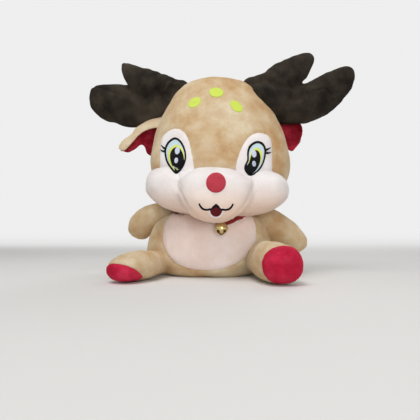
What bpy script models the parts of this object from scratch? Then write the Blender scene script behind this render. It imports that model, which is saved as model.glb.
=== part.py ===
# A seated plush deer with stuffed antlers, floppy ears, a satin nose and a bell on a ribbon collar.
# It faces -Y with +Z up and +X on the viewer's right. The origin is the middle of its flat seat.
# Sizes are written in millimetres and turned to metres as each point is made.
import bpy
import bmesh
from math import cos, pi, radians, sin
from mathutils import Matrix, Vector

MM = 0.001

# Cloth, thread and the room between touching pieces
FABRIC = 2.4
GAP = 0.3
THREAD_LOW = 0.3
THREAD_HIGH = 1.4
SATIN_HIGH = 2.2

# The neck: both head joints cross here, and the head leans and looks a little to one side
NECK = Vector((10.5, -5.0, 108.0))
HEAD_LEAN = radians(2.3)
HEAD_LOOK = radians(-1.5)
NECK_SOCKET = 34.3
SEAM_INNER = 31.3
SEAM_OUTER = 33.2

# Rings of the body from the seat up: height, half width, front, back, and the ring's middle in X
BODY_RINGS = [
    (-0.5, 44, -32, 32, 0),
    (-0.5, 82, -57, 58, 0),
    (14, 106, -71, 70, 0),
    (40, 113, -76, 76, 0),
    (68, 107, -73, 73, 0),
    (99, 86, -59, 52, 2),
    (107, 54, -43, 31, 6),
    (112, 30, -33, 23, 9),
    (130, 20, -25, 15, 10.5),
    (137, 9, -14, 4, 10.5),
]
BODY_SIDES = 10
NECK_MOUTH = 10

# Rings of the head from the chin up, from the neck: height, half width, front, back, middle in X
HEAD_RINGS = [
    (8, 46, -48, 42, 0),
    (15, 84, -77, 64, 1),
    (36, 111, -87, 75, 3),
    (72, 125, -87, 78, 5),
    (108, 121, -80, 75, 4.5),
    (142, 112, -71, 69, 2),
    (174, 97, -59, 59, -1),
    (201, 78, -46, 46, -3),
    (220, 54, -31, 31, -4),
    (229, 25, -14, 14, -4.5),
]
HEAD_SIDES = 10

# The white lower face, from the neck: rings of the muzzle run forward, each cheek is a pillow
MUZZLE_RINGS = [
    (-55, 43, -2, 46),
    (-75, 55, -11, 57),
    (-98, 54, -21, 57),
    (-114, 42, -12, 48),
    (-123, 21, 4, 34),
]
MUZZLE_MIDDLE = -85
CHEEK_MIDDLE = (65, -46, 29.5)
CHEEK_RADII = (54, 52, 31.5)

# Eye patches and embroidery, from the neck: X is measured outwards from the middle of the face
PATCH = {"x": 58, "z": 88, "wide": 27.5, "high": 37}
EYE = {"x": 61.5, "z": 86}
EYE_RIM = {"wide": 16.1, "high": 27.5, "lean": 4.3, "pinch": 0.2}
EYE_WHITE = {"wide": 13.4, "high": 23.8, "lean": 4.0, "pinch": 0.2, "down": 1.4}
EYE_IRIS = (0.8, -2, 11.6, 18.5)
EYE_PUPIL = (-2.6, -4.5, 9.2, 16.5)
EYE_GLINTS = {"upper": (-2.5, 6.5, 3.8, 5.4), "lower": (-1.6, -7.6, 2.8, 4.2)}
LASHES = [((14.5, 14.5), (21.5, 14.6), (14.8, 11.0)), ((15.0, 10.5), (22.6, 7.8), (15.2, 7.0))]
SPOTS = {
    "left": (-32, 163, 10.2, 7.0, 28),
    "middle": (0, 180, 10.2, 6.6, -2),
    "right": (31, 160, 10.2, 7.2, -38),
}
NOSE = {"x": 0, "z": 32, "radius": 14}
MOUTH = {"peak": 3.4, "low": -4.1, "end": 4.0, "low_x": 13.3, "end_x": 23.5, "thick": 2.2}
TONGUE = {"wide": 8.7, "bottom": -14}

# Antlers: two stuffed prongs each. A ring is its middle, its half height and its half depth
ANTLERS = {
    "left": {
        "outer": [
            ((-54, 0, 305), 18, 15),
            ((-86, 0, 298), 29, 21),
            ((-120, -2, 291), 33, 25),
            ((-156, -4, 294), 31, 24),
            ((-185, -4, 303), 25, 21),
            ((-201, -4, 318), 13, 12),
        ],
        "upper": [
            ((-58, -4, 320), 15, 13),
            ((-92, -13, 327), 23, 18),
            ((-122, -17, 331), 25, 19),
            ((-143, -18, 343), 19, 15),
            ((-151, -18, 356), 8, 8),
        ],
    },
    "right": {
        "outer": [
            ((85, 0, 304), 18, 15),
            ((114, 0, 297), 29, 21),
            ((148, 0, 296), 34, 25),
            ((185, 0, 304), 33, 25),
            ((219, 0, 325), 29, 22),
            ((242, 0, 346), 16, 14),
        ],
        "upper": [
            ((88, -4, 320), 15, 13),
            ((113, -8, 328), 25, 19),
            ((141, -8, 348), 26, 20),
            ((164, -8, 365), 20, 17),
            ((176, -8, 374), 9, 9),
        ],
    },
}
ANTLER_ROOTS = {"left": (-64, 0, 308), "right": (93, 0, 308)}

# Ears: a cupped leaf from its root to its tip, with the direction that the cup opens to
EARS = {
    "left": {"root": (-90, -4, 239), "tip": (-156, -14, 216), "wide": 52, "cup": 12, "open": (0, -1, -0.25)},
    "right": {"root": (121, -4, 245), "tip": (151, -16, 207), "wide": 50, "cup": 14, "open": (0.1, -1, -0.1)},
}
EAR_BACK = 2.2
EAR_LINING = 1.6
EAR_ROWS = 7
EAR_COLUMNS = 6

# Arms and legs: rings from the root to the tip, each its middle, half width and half height
ARMS = {
    "left": [
        ((-66, 8, 96), 15, 16),
        ((-90, 20, 93), 22, 23),
        ((-110, 30, 85), 24, 25),
        ((-126, 39, 72), 23, 23),
        ((-132, 44, 60), 14, 14),
    ],
    "right": [
        ((68, 8, 94), 15, 16),
        ((94, 8, 87), 21, 23),
        ((121, 5, 76), 24, 25),
        ((149, 1, 60), 24, 24),
        ((163, -2, 48), 16, 16),
    ],
}
LEGS = {
    "left": [
        ((-44, -16, 28), 20, 19),
        ((-72, -48, 26.5), 28, 26.5),
        ((-94, -77, 25), 29, 25),
        ((-113, -103, 24), 27.5, 24),
        ((-128, -123, 22.5), 27, 22.5),
        ((-134, -131, 20), 17, 15),
    ],
    "right": [
        ((56, -18, 30), 20, 19),
        ((72, -58, 30.5), 28, 29),
        ((83, -93, 30), 29, 29.5),
        ((93, -124, 29), 27, 28.5),
        ((100, -148, 28.5), 28, 28.5),
        ((103, -158, 28), 18, 18),
    ],
}
ARM_JOINTS = {"left": (-76, 14, 95), "right": (78, 8, 92)}
LEG_JOINTS = {"left": (-60, -34, 31), "right": (63, -36, 31)}
HOOF_LONG = 24
HOOF_TILT = {"left": radians(32), "right": 0.0}
LEG_END = 8
LIMB_SIDES = 8
TAIL = [((0, 66, 44), 9, 9), ((0, 82, 49), 15, 13), ((0, 97, 58), 14, 11), ((0, 105, 66), 7, 6)]
TAIL_JOINT = (0, 74, 46)

# Belly panel, collar ribbon, and the brass bell on its thread tie
BELLY = {"x": 0.5, "z": 57, "wide": 73, "high": 44}
COLLAR = {"low": 0.4, "high": 1.2, "wide": 8, "middle": 106, "reach": 120, "front": 71, "side": 114, "back": 121}
BELL_JOINT = Vector((18, -76.5, 90.5))
BELL_LEAN = radians(-17)
BELL = {"radius": 10, "wall": 0.7, "rim": 0.9, "drop": 13.0}
BELL_SLOT = (15, 1.6)
SHANK = {"radius": 2.1, "wire": 0.55}
TIE = {"wide": 3.2, "wire": 0.5, "steps": 12}
CLAPPER_RADIUS = 3.0

# How far each soft joint turns, in degrees, so that what it passes is cut clear of it
ANTLER_TURNS = (-4, 8)
EAR_TURNS = (-12, 4)
ARM_TURNS = (-5, 8, 20)
LEG_TURNS = (0, 12, 24)
TAIL_TURNS = (-8, 8)
SWEEP_GAP = 0.6

# Points nearer than this are joined after a cut
SLIVER = 0.02

# Colours and roughness of each material
COLOURS = {
    "tan": ((0.62, 0.47, 0.29), 0.95),
    "white": ((0.86, 0.82, 0.8), 0.95),
    "blush": ((0.8, 0.62, 0.55), 0.95),
    "red": ((0.6, 0.03, 0.07), 0.85),
    "satin": ((0.5, 0.03, 0.06), 0.45),
    "brown": ((0.035, 0.026, 0.018), 0.9),
    "black": ((0.01, 0.011, 0.015), 0.6),
    "sclera": ((0.55, 0.7, 0.72), 0.6),
    "iris": ((0.75, 0.78, 0.26), 0.6),
    "glint": ((0.5, 0.55, 0.75), 0.5),
    "lime": ((0.6, 0.75, 0.12), 0.7),
    "ribbon": ((0.3, 0.02, 0.03), 0.5),
    "filling": ((0.9, 0.9, 0.9), 1.0),
    "thread": ((0.3, 0.05, 0.05), 0.8),
    "brass": ((0.7, 0.5, 0.2), 0.3),
}


def clear_scene():
    for thing in list(bpy.data.objects):
        bpy.data.objects.remove(thing)


def collection(name):
    made = bpy.data.collections.new(name)
    bpy.context.scene.collection.children.link(made)
    return made


def material(name):
    if name in bpy.data.materials:
        return bpy.data.materials[name]
    colour, roughness = COLOURS[name]
    made = bpy.data.materials.new(name)
    made.use_nodes = True
    shader = made.node_tree.nodes["Principled BSDF"]
    shader.inputs["Base Color"].default_value = (*colour, 1)
    shader.inputs["Roughness"].default_value = roughness
    shader.inputs["Metallic"].default_value = 1.0 if name == "brass" else 0.0
    return made


# Meshes

def mesh_of(maker, levels=0, swell=0.0):
    """Mesh of a bmesh, subdivided and then swollen along its normals, in millimetres."""
    mesh = bpy.data.meshes.new("form")
    maker.to_mesh(mesh)
    maker.free()
    return softened(mesh, levels, swell)


def softened(mesh, levels=0, swell=0.0):
    if not levels and not swell:
        return mesh
    helper = bpy.data.objects.new("helper", mesh)
    bpy.context.scene.collection.objects.link(helper)
    if levels:
        rounding = helper.modifiers.new("Rounding", "SUBSURF")
        rounding.levels = levels
        rounding.render_levels = levels
    if swell:
        growing = helper.modifiers.new("Swell", "DISPLACE")
        growing.mid_level = 0
        growing.strength = swell * MM
    graph = bpy.context.evaluated_depsgraph_get()
    result = bpy.data.meshes.new_from_object(helper.evaluated_get(graph))
    bpy.data.objects.remove(helper)
    return result


def in_triangles(mesh):
    """The same form in triangles, so that what is grown or shrunk from it keeps the same flat faces."""
    maker = bmesh.new()
    maker.from_mesh(mesh)
    bmesh.ops.triangulate(maker, faces=maker.faces, quad_method="FIXED")
    return mesh_of(maker)


def bridged(loops):
    """Closed bmesh from loops of points in millimetres, each joined to the next, both ends filled."""
    maker = bmesh.new()
    rows = []
    for points in loops:
        circle = bmesh.ops.create_circle(maker, segments=len(points), radius=1)
        for vert, point in zip(circle["verts"], points):
            vert.co = Vector(point) * MM
        rows.append(list({edge for vert in circle["verts"] for edge in vert.link_edges}))
    for lower, upper in zip(rows, rows[1:]):
        bmesh.ops.bridge_loops(maker, edges=lower + upper)
    for end in (rows[0], rows[-1]):
        bmesh.ops.contextual_create(maker, geom=end)
    bmesh.ops.recalc_face_normals(maker, faces=maker.faces)
    return maker


def oval(centre, right, up, sides, turn=0.5):
    """Points of an ellipse round a centre, whose two half axes are given as vectors."""
    angles = [2 * pi * (step + turn) / sides for step in range(sides)]
    return [Vector(centre) + right * cos(angle) + up * sin(angle) for angle in angles]


def rounding_loss(sides):
    """How much one subdivision draws a ring of this many points in, as a share of its size."""
    return (3 + cos(2 * pi / sides)) / 4


def stacked(rings, sides):
    """Upright form from rings of (height, half width, front, back, middle in X)."""
    grow = 1 / rounding_loss(sides)
    loops = []
    for height, wide, front, back, middle in rings:
        right = Vector((wide * grow, 0, 0))
        up = Vector((0, (back - front) / 2 * grow, 0))
        loops.append(oval((middle, (front + back) / 2, height), right, up, sides))
    return loops


def limb(rings, side, sides, grow=None):
    """Form along a bent line, from rings of (middle, half size along side, half size across it)."""
    grow = grow or 1 / rounding_loss(sides)
    middles = [Vector(ring[0]) for ring in rings]
    last = len(rings) - 1
    loops = []
    for index, (middle, wide, high) in enumerate(rings):
        along = (middles[min(index + 1, last)] - middles[max(index - 1, 0)]).normalized()
        right = Vector(side).normalized()
        right = (right - along * right.dot(along)).normalized()
        up = along.cross(right)
        loops.append(oval(middle, right * wide * grow, up * high * grow, sides))
    return loops


def layers(loops):
    """Rounded outer form from a cage, the hollow inside its cloth, and the filling in that hollow."""
    outer = mesh_of(bridged(loops), 1)
    inner = []
    for depth in (FABRIC, FABRIC + GAP):
        cage = bridged(loops)
        bmesh.ops.triangulate(cage, faces=cage.faces, quad_method="FIXED")
        form = mesh_of(cage)
        for vert in form.vertices:
            surface = outer.vertices[vert.index]
            vert.co = surface.co - surface.normal * depth * MM
        inner.append(form)
    return outer, *inner


def prism(outline, near, far):
    """Cutter: an outline of (x, z) points drawn from near to far along Y."""
    return mesh_of(bridged([[(x, near, z) for x, z in outline], [(x, far, z) for x, z in outline]]))


def ellipse(x, z, wide, high, tilt=0.0, points=16):
    turn = radians(tilt)
    outline = []
    for step in range(points):
        angle = 2 * pi * step / points
        across = wide * cos(angle)
        above = high * sin(angle)
        outline.append((x + across * cos(turn) - above * sin(turn), z + across * sin(turn) + above * cos(turn)))
    return outline


def eye_shape(hand, shape, points=20):
    """Almond of an eye, leaning outwards at its top and pinched at its bottom."""
    outline = []
    for step in range(points):
        angle = 2 * pi * step / points
        pinched = 1 - shape["pinch"] * max(0.0, -cos(angle)) ** 2
        out = shape["wide"] * pinched * sin(angle) + shape["lean"] * cos(angle)
        up = shape["high"] * cos(angle) - shape.get("down", 0)
        outline.append((hand * (EYE["x"] + out), EYE["z"] + up))
    return outline


# Cuts, each made at once on meshes that share one frame

def cut(mesh, *tools, operation="DIFFERENCE"):
    for tool in tools:
        body = bpy.data.objects.new("cut_body", mesh)
        cutter = bpy.data.objects.new("cut_tool", tool)
        for thing in (body, cutter):
            bpy.context.scene.collection.objects.link(thing)
        step = body.modifiers.new("Cut", "BOOLEAN")
        step.operation = operation
        step.object = cutter
        graph = bpy.context.evaluated_depsgraph_get()
        mesh = bpy.data.meshes.new_from_object(body.evaluated_get(graph))
        bpy.data.objects.remove(body)
        bpy.data.objects.remove(cutter)
        mesh = without_slivers(mesh)
    return mesh


def without_slivers(mesh):
    maker = bmesh.new()
    maker.from_mesh(mesh)
    bmesh.ops.remove_doubles(maker, verts=maker.verts, dist=SLIVER * MM)
    bmesh.ops.dissolve_degenerate(maker, edges=maker.edges, dist=SLIVER * MM)
    return mesh_of(maker)


def joined(mesh, *others):
    return cut(mesh, *others, operation="UNION")


def kept(mesh, shape):
    return cut(mesh, shape, operation="INTERSECT")


def moved(mesh, matrix):
    copy = mesh.copy()
    copy.transform(matrix)
    return copy


def turned(mesh, pivot, axis, degrees):
    """Copy of a mesh, turned about a joint's axis."""
    point = Vector(pivot) * MM
    turn = Matrix.Rotation(radians(degrees), 4, Vector(axis))
    return moved(mesh, Matrix.Translation(point) @ turn @ Matrix.Translation(-point))


def sweep(mesh, pivot, axis, turns):
    """Hull of what a moving piece must clear, as that piece sees it at each turn of its joint."""
    maker = bmesh.new()
    for turn in turns:
        maker.from_mesh(turned(mesh, pivot, axis, -turn))
    hull = bmesh.ops.convex_hull(maker, input=maker.verts)
    inside = [item for item in hull["geom_interior"] if isinstance(item, bmesh.types.BMVert)]
    bmesh.ops.delete(maker, geom=inside, context="VERTS")
    left = [face for face in maker.faces if face not in hull["geom"]]
    bmesh.ops.delete(maker, geom=left, context="FACES")
    bmesh.ops.recalc_face_normals(maker, faces=maker.faces)
    return mesh_of(maker)


def cylinder(x, y, radius, low, high, sides=24):
    right = Vector((radius, 0, 0))
    up = Vector((0, radius, 0))
    return mesh_of(bridged([oval((x, y, height), right, up, sides) for height in (low, high)]))


def ball(centre, radius, across=20, around=12):
    maker = bmesh.new()
    middle = Matrix.Translation(Vector(centre) * MM)
    bmesh.ops.create_uvsphere(maker, u_segments=across, v_segments=around, radius=radius * MM, matrix=middle)
    return mesh_of(maker)


# Nodes

def place(name, mesh, colour, pivot=None, local=False):
    """Node whose mesh is measured from its pivot. A local mesh is already measured from there."""
    if pivot is not None and not local:
        mesh = moved(mesh, pivot.matrix_world.inverted())
    thing = bpy.data.objects.new(name, mesh)
    thing.parent = pivot
    parts.objects.link(thing)
    mesh.materials.clear()
    mesh.materials.append(material(colour))
    mesh.shade_smooth()
    mesh.set_sharp_from_angle(angle=radians(42))
    return thing


def empty(name, location, rotation=(0, 0, 0)):
    made = bpy.data.objects.new(name, None)
    parts.objects.link(made)
    made.empty_display_size = 0.01
    made.location = Vector(location) * MM
    made.rotation_euler = rotation
    bpy.context.view_layer.update()
    return made


# Body

def make_body():
    outer, hollow, core = layers(stacked(BODY_RINGS, BODY_SIDES))
    window = belly_outline(0)
    mouth = cylinder(NECK.x, NECK.y, NECK_MOUTH, 110, 160)
    seated = cut(outer, cylinder(0, 0, 300, -60, 0))
    hollow = cut(hollow, cylinder(0, 0, 290, -60, FABRIC))
    place("body_skin", cut(seated, hollow, mouth, prism(window, -140, -20)), "tan")
    top = cylinder(NECK.x, NECK.y, 60, 126, 170)
    place("body_stuffing", cut(core, cylinder(0, 0, 300, -60, FABRIC + GAP), top), "filling")
    panel = kept(outer, prism(belly_outline(GAP), -140, -20))
    place("belly_panel", cut(panel, softened(outer, swell=-FABRIC)), "blush")
    ribbon = kept(softened(outer, swell=COLLAR["high"]), collar_band())
    place("collar_ribbon", cut(ribbon, softened(outer, swell=COLLAR["low"])), "ribbon")
    return softened(outer, swell=SWEEP_GAP)


def belly_outline(inset):
    return ellipse(BELLY["x"], BELLY["z"], BELLY["wide"] - inset, BELLY["high"] - inset, points=24)


def collar_band():
    """Wavy plate through the neck, low in front where the bell pulls it down."""
    sides = 24
    loops = []
    for edge in (-0.5, 0.5):
        points = []
        for step in range(sides):
            angle = 2 * pi * step / sides
            front = max(0.0, -sin(angle)) ** 1.5
            back = max(0.0, sin(angle)) ** 1.5
            height = COLLAR["side"] + (COLLAR["front"] - COLLAR["side"]) * front
            height += (COLLAR["back"] - COLLAR["side"]) * back + edge * COLLAR["wide"]
            points.append((NECK.x + COLLAR["reach"] * cos(angle), NECK.y + COLLAR["reach"] * sin(angle), height))
        loops.append(points)
    maker = bridged(loops)
    caps = [face for face in maker.faces if len(face.verts) == sides]
    caps.sort(key=lambda face: face.calc_center_median().z)
    for cap, edge in zip(caps, (-0.5, 0.5)):
        poked = bmesh.ops.poke(maker, faces=[cap])
        height = COLLAR["middle"] + edge * COLLAR["wide"]
        poked["verts"][0].co = Vector((NECK.x, NECK.y, height)) * MM
    bmesh.ops.recalc_face_normals(maker, faces=maker.faces)
    return mesh_of(maker)


def make_tail(body_room):
    pivot = empty("tail_pivot", TAIL_JOINT)
    tail = mesh_of(bridged(limb(TAIL, (1, 0, 0), LIMB_SIDES)), 1)
    place("tail", cut(tail, sweep(body_room, TAIL_JOINT, (0, 0, 1), TAIL_TURNS)), "tan", pivot)


def make_arms(body_room):
    for hand, rings in ARMS.items():
        axis = (0, 1 if hand == "left" else -1, 0)
        pivot = empty(f"arm_{hand}_pivot", ARM_JOINTS[hand])
        room = sweep(body_room, ARM_JOINTS[hand], axis, ARM_TURNS)
        outer, hollow, core = layers(limb(rings, (0, 1, 0), LIMB_SIDES))
        place(f"arm_skin_{hand}", cut(outer, room, hollow), "tan", pivot)
        place(f"arm_stuffing_{hand}", cut(core, room), "filling", pivot)


def make_legs(body_room):
    floor = cylinder(0, 0, 300, -60, 0.3)
    for hand, rings in LEGS.items():
        tip = Vector(rings[-1][0])
        along = tip - Vector(rings[1][0])
        along.z = 0
        along.normalize()
        axis = along.cross(Vector((0, 0, 1)))
        pivot = empty(f"leg_{hand}_pivot", LEG_JOINTS[hand])
        room = sweep(body_room, LEG_JOINTS[hand], axis, LEG_TURNS)
        outer, hollow, core = layers(limb(rings, axis, LIMB_SIDES))
        shell = cut(outer, floor, room, hollow)
        seam = tip + along * (LEG_END - HOOF_LONG)
        facing = along * cos(HOOF_TILT[hand]) - Vector((0, 0, sin(HOOF_TILT[hand])))
        place(f"leg_skin_{hand}", cut(shell, slab(seam, facing, axis, -GAP / 2, 90)), "tan", pivot)
        place(f"hoof_{hand}", cut(shell, slab(seam, facing, axis, -220, GAP / 2)), "red", pivot)
        place(f"leg_stuffing_{hand}", cut(core, room), "filling", pivot)


def slab(middle, along, axis, near, far):
    """Wide round block across a leg, from near to far along it."""
    up = axis.cross(along).normalized() * 100
    reach = axis.normalized() * 100
    return mesh_of(bridged([oval(middle + along * step, reach, up, 12) for step in (near, far)]))


# Head

def make_head():
    pivot = empty("head_pivot", NECK, (0, HEAD_LEAN, HEAD_LOOK))
    outer, hollow, core = layers(stacked(HEAD_RINGS, HEAD_SIDES))
    outer = in_triangles(outer)
    socket = ball((0, 0, 0), NECK_SOCKET)
    windows = [prism(patch_outline(sign, 0), -160, -10) for sign in (-1, 1)]
    place("head_skin", cut(outer, hollow, *windows, socket), "tan", pivot, local=True)
    place("head_stuffing", cut(core, socket), "filling", pivot, local=True)
    inside = softened(outer, swell=-FABRIC)
    for hand, sign in (("left", -1), ("right", 1)):
        patch = kept(outer, prism(patch_outline(sign, GAP), -160, -10))
        place(f"eye_patch_{hand}", cut(patch, inside), "white", pivot, local=True)
    make_face(pivot, outer)
    return moved(softened(outer, swell=SWEEP_GAP), pivot.matrix_world)


def patch_outline(sign, inset):
    """Tall oval of an eye patch, which runs down behind the cheek's top edge."""
    return ellipse(sign * PATCH["x"], PATCH["z"], PATCH["wide"] - inset, PATCH["high"] - inset, points=20)


def muzzle_form():
    loops = []
    for forward, wide, bottom, top in MUZZLE_RINGS:
        right = Vector((wide / rounding_loss(12), 0, 0))
        up = Vector((0, 0, (top - bottom) / 2 / rounding_loss(12)))
        loops.append(oval((0, forward, (top + bottom) / 2), right, up, 12))
    return mesh_of(bridged(loops), 1)


def cheek_form(sign):
    maker = bmesh.new()
    bmesh.ops.create_uvsphere(maker, u_segments=16, v_segments=11, radius=MM)
    bmesh.ops.scale(maker, vec=Vector(CHEEK_RADII), verts=maker.verts)
    across, forward, up = CHEEK_MIDDLE
    bmesh.ops.translate(maker, vec=Vector((sign * across, forward, up)) * MM, verts=maker.verts)
    return mesh_of(maker)


def make_face(pivot, outer):
    """Stuffed muzzle and cheeks, cut by the head and each other, and all that is sewn on the face."""
    head = softened(outer, swell=GAP)
    muzzle = muzzle_form()
    place("muzzle", cut(muzzle, head), "white", pivot, local=True)
    beside = softened(muzzle, swell=2 * GAP)
    for hand, sign in (("left", -1), ("right", 1)):
        place(f"cheek_{hand}", cut(cheek_form(sign), head, beside), "white", pivot, local=True)
        make_eye(pivot, outer, hand, sign)
    for name, (x, z, wide, high, tilt) in SPOTS.items():
        stitched(f"forehead_spot_{name}", outer, "lime", pivot, ellipse(x, z, wide, high, tilt))
    make_mouth(pivot, muzzle)


def stitched(name, form, colour, pivot, shape, holes=(), high=THREAD_HIGH, spurs=(), back=-20, within=None):
    """Embroidery or applied cloth: a thin sheet that follows a form, inside a shape, round its holes."""
    pattern = prism(shape, -170, back)
    pattern = joined(pattern, *[prism(spur, -170, back) for spur in spurs])
    if within:
        pattern = kept(pattern, prism(within, -171, back + 1))
    sheet = kept(softened(form, swell=high), pattern)
    sheet = cut(sheet, *[prism(hole, -172, back + 2) for hole in holes], softened(form, swell=THREAD_LOW))
    place(name, sheet, colour, pivot, local=True)


def eye_oval(sign, shape, inset=0.0, points=16):
    out, up, wide, high = shape
    return ellipse(sign * (EYE["x"] + out), EYE["z"] + up, wide - inset, high - inset, points=points)


def make_eye(pivot, outer, hand, sign):
    inside = dict(EYE_WHITE, wide=EYE_WHITE["wide"] - GAP, high=EYE_WHITE["high"] - GAP)
    lashes = [[(sign * (EYE["x"] + x), EYE["z"] + z) for x, z in lash] for lash in LASHES]
    rim = eye_shape(sign, EYE_RIM)
    iris = eye_oval(sign, EYE_IRIS)
    pupil = eye_oval(sign, EYE_PUPIL)
    iris_hole = eye_oval(sign, EYE_IRIS, -GAP)
    pupil_hole = eye_oval(sign, EYE_PUPIL, -GAP)
    stitched(f"eye_outline_{hand}", outer, "black", pivot, rim, [eye_shape(sign, EYE_WHITE)], spurs=lashes)
    limit = eye_shape(sign, inside)
    stitched(f"eye_white_{hand}", outer, "sclera", pivot, limit, [iris_hole, pupil_hole])
    stitched(f"eye_iris_{hand}", outer, "iris", pivot, iris, [pupil_hole], within=limit)
    glints = [eye_oval(sign, shape, -GAP, 12) for shape in EYE_GLINTS.values()]
    stitched(f"eye_pupil_{hand}", outer, "black", pivot, pupil, glints, within=limit)
    for name, shape in EYE_GLINTS.items():
        stitched(f"eye_glint_{name}_{hand}", outer, "glint", pivot, eye_oval(sign, shape, 0, 12))


def mouth_height(x):
    """Middle line of the mouth: two dips either side of a peak, with its ends turned up."""
    across = abs(x)
    if across <= MOUTH["low_x"]:
        swing = (MOUTH["peak"] - MOUTH["low"]) / 2
        return MOUTH["low"] + swing * (1 + cos(pi * across / MOUTH["low_x"]))
    share = (across - MOUTH["low_x"]) / (MOUTH["end_x"] - MOUTH["low_x"])
    return MOUTH["low"] + (MOUTH["end"] - MOUTH["low"]) * share ** 1.4


def make_mouth(pivot, muzzle):
    nose = ellipse(NOSE["x"], NOSE["z"], NOSE["radius"], NOSE["radius"], points=20)
    stitched("nose", muzzle, "satin", pivot, nose, high=SATIN_HIGH, back=MUZZLE_MIDDLE)
    steps = [MOUTH["end_x"] * (step / 7 - 1) for step in range(15)]
    half = MOUTH["thick"] / 2
    line = [(x, mouth_height(x) - half) for x in steps] + [(x, mouth_height(x) + half) for x in reversed(steps)]
    stitched("mouth_line", muzzle, "black", pivot, line, back=MUZZLE_MIDDLE)
    wide = TONGUE["wide"]
    across = [wide * (1 - step / 3) for step in range(7)]
    top = [(x, mouth_height(x) - half - GAP) for x in across]
    edge = top[0][1]
    turns = [pi * step / 8 for step in range(1, 8)]
    bottom = [(-wide * cos(turn), edge + (TONGUE["bottom"] - edge) * sin(turn)) for turn in turns]
    stitched("tongue", muzzle, "red", pivot, top + bottom, back=MUZZLE_MIDDLE)


def make_antlers(head_room):
    for hand, prongs in ANTLERS.items():
        axis = (0, 1 if hand == "left" else -1, 0)
        pivot = empty(f"antler_{hand}_pivot", ANTLER_ROOTS[hand])
        room = sweep(head_room, ANTLER_ROOTS[hand], axis, ANTLER_TURNS)
        lower, upper = [
            layers(limb([(middle, deep, high) for middle, high, deep in prongs[prong]], (0, 1, 0), LIMB_SIDES))
            for prong in ("outer", "upper")
        ]
        outer, hollow, core = [joined(first, second) for first, second in zip(lower, upper)]
        place(f"antler_skin_{hand}", cut(outer, room, hollow), "brown", pivot)
        place(f"antler_stuffing_{hand}", cut(core, room), "filling", pivot)


def ear_leaf(ear, shrink, lift, thick):
    """One cupped layer of an ear, which follows a leaf from its root to its tip."""
    root = Vector(ear["root"])
    along = Vector(ear["tip"]) - root
    across = along.normalized().cross(Vector(ear["open"])).normalized()
    facing = across.cross(along).normalized()
    maker = bmesh.new()
    bmesh.ops.create_grid(maker, x_segments=EAR_ROWS, y_segments=EAR_COLUMNS, size=1)
    for vert in maker.verts:
        share = (vert.co.x + 1) / 2
        side = vert.co.y
        reach = shrink + share * (1 - 2 * shrink)
        half = ear["wide"] / 2 * (0.18 + 0.82 * sin(pi * (0.2 + 0.8 * share) ** 1.25) ** 0.7) * (1 - 1.6 * shrink)
        bowl = ear["cup"] * (side ** 2 - 1) * sin(pi * (0.15 + 0.8 * share))
        vert.co = (root + along * reach + across * half * side + facing * (bowl + lift)) * MM
    maker.normal_update()
    if sum(face.normal.dot(facing) for face in maker.faces) < 0:
        bmesh.ops.reverse_faces(maker, faces=maker.faces)
    sheet = bpy.data.objects.new("sheet", mesh_of(maker))
    bpy.context.scene.collection.objects.link(sheet)
    wall = sheet.modifiers.new("Cloth", "SOLIDIFY")
    wall.thickness = thick * MM
    wall.offset = -1
    graph = bpy.context.evaluated_depsgraph_get()
    result = bpy.data.meshes.new_from_object(sheet.evaluated_get(graph))
    bpy.data.objects.remove(sheet)
    return result


def make_ears(head_room):
    for hand, ear in EARS.items():
        axis = (0, 1 if hand == "left" else -1, 0)
        pivot = empty(f"ear_{hand}_pivot", ear["root"])
        room = sweep(head_room, ear["root"], axis, EAR_TURNS)
        back = ear_leaf(ear, 0.0, 0, EAR_BACK)
        lining = ear_leaf(ear, 0.06, EAR_LINING + GAP + 0.3, EAR_LINING)
        place(f"ear_back_{hand}", cut(back, room), "tan", pivot)
        place(f"ear_lining_{hand}", cut(lining, room), "red", pivot)


# Collar, bell and neck seam

def turned_mesh(profile, steps=16):
    """Round piece from a closed profile of (radius, height) points, spun about Z."""
    maker = bmesh.new()
    verts = [maker.verts.new(Vector((radius, 0, height)) * MM) for radius, height in profile]
    edges = [maker.edges.new(pair) for pair in zip(verts, verts[1:] + verts[:1]) if pair[0] is not pair[1]]
    bmesh.ops.spin(
        maker,
        geom=verts + edges,
        cent=(0, 0, 0),
        axis=(0, 0, 1),
        angle=2 * pi,
        steps=steps,
        use_merge=True,
    )
    bmesh.ops.remove_doubles(maker, verts=maker.verts, dist=0.00001)
    bmesh.ops.recalc_face_normals(maker, faces=maker.faces)
    return mesh_of(maker)


def bell_slot(long, wide, height):
    maker = bmesh.new()
    bmesh.ops.create_cube(maker, size=MM)
    bmesh.ops.scale(maker, vec=Vector((long, wide, 10)), verts=maker.verts)
    bmesh.ops.translate(maker, vec=Vector((0, 0, height)) * MM, verts=maker.verts)
    return mesh_of(maker)


def arc(radius, start, end, steps, centre=0.0):
    """Points of (radius, height) on a circle, by angle from the top in degrees."""
    angles = [radians(start + (end - start) * step / steps) for step in range(steps + 1)]
    return [(radius * sin(angle), centre + radius * cos(angle)) for angle in angles]


def make_neck_seam():
    pivot = empty("neck_pivot", NECK)
    profile = arc(SEAM_OUTER, 27, 62, 3) + arc(SEAM_INNER, 62, 27, 3)
    place("neck_seam", turned_mesh(profile), "tan", pivot, local=True)


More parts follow.
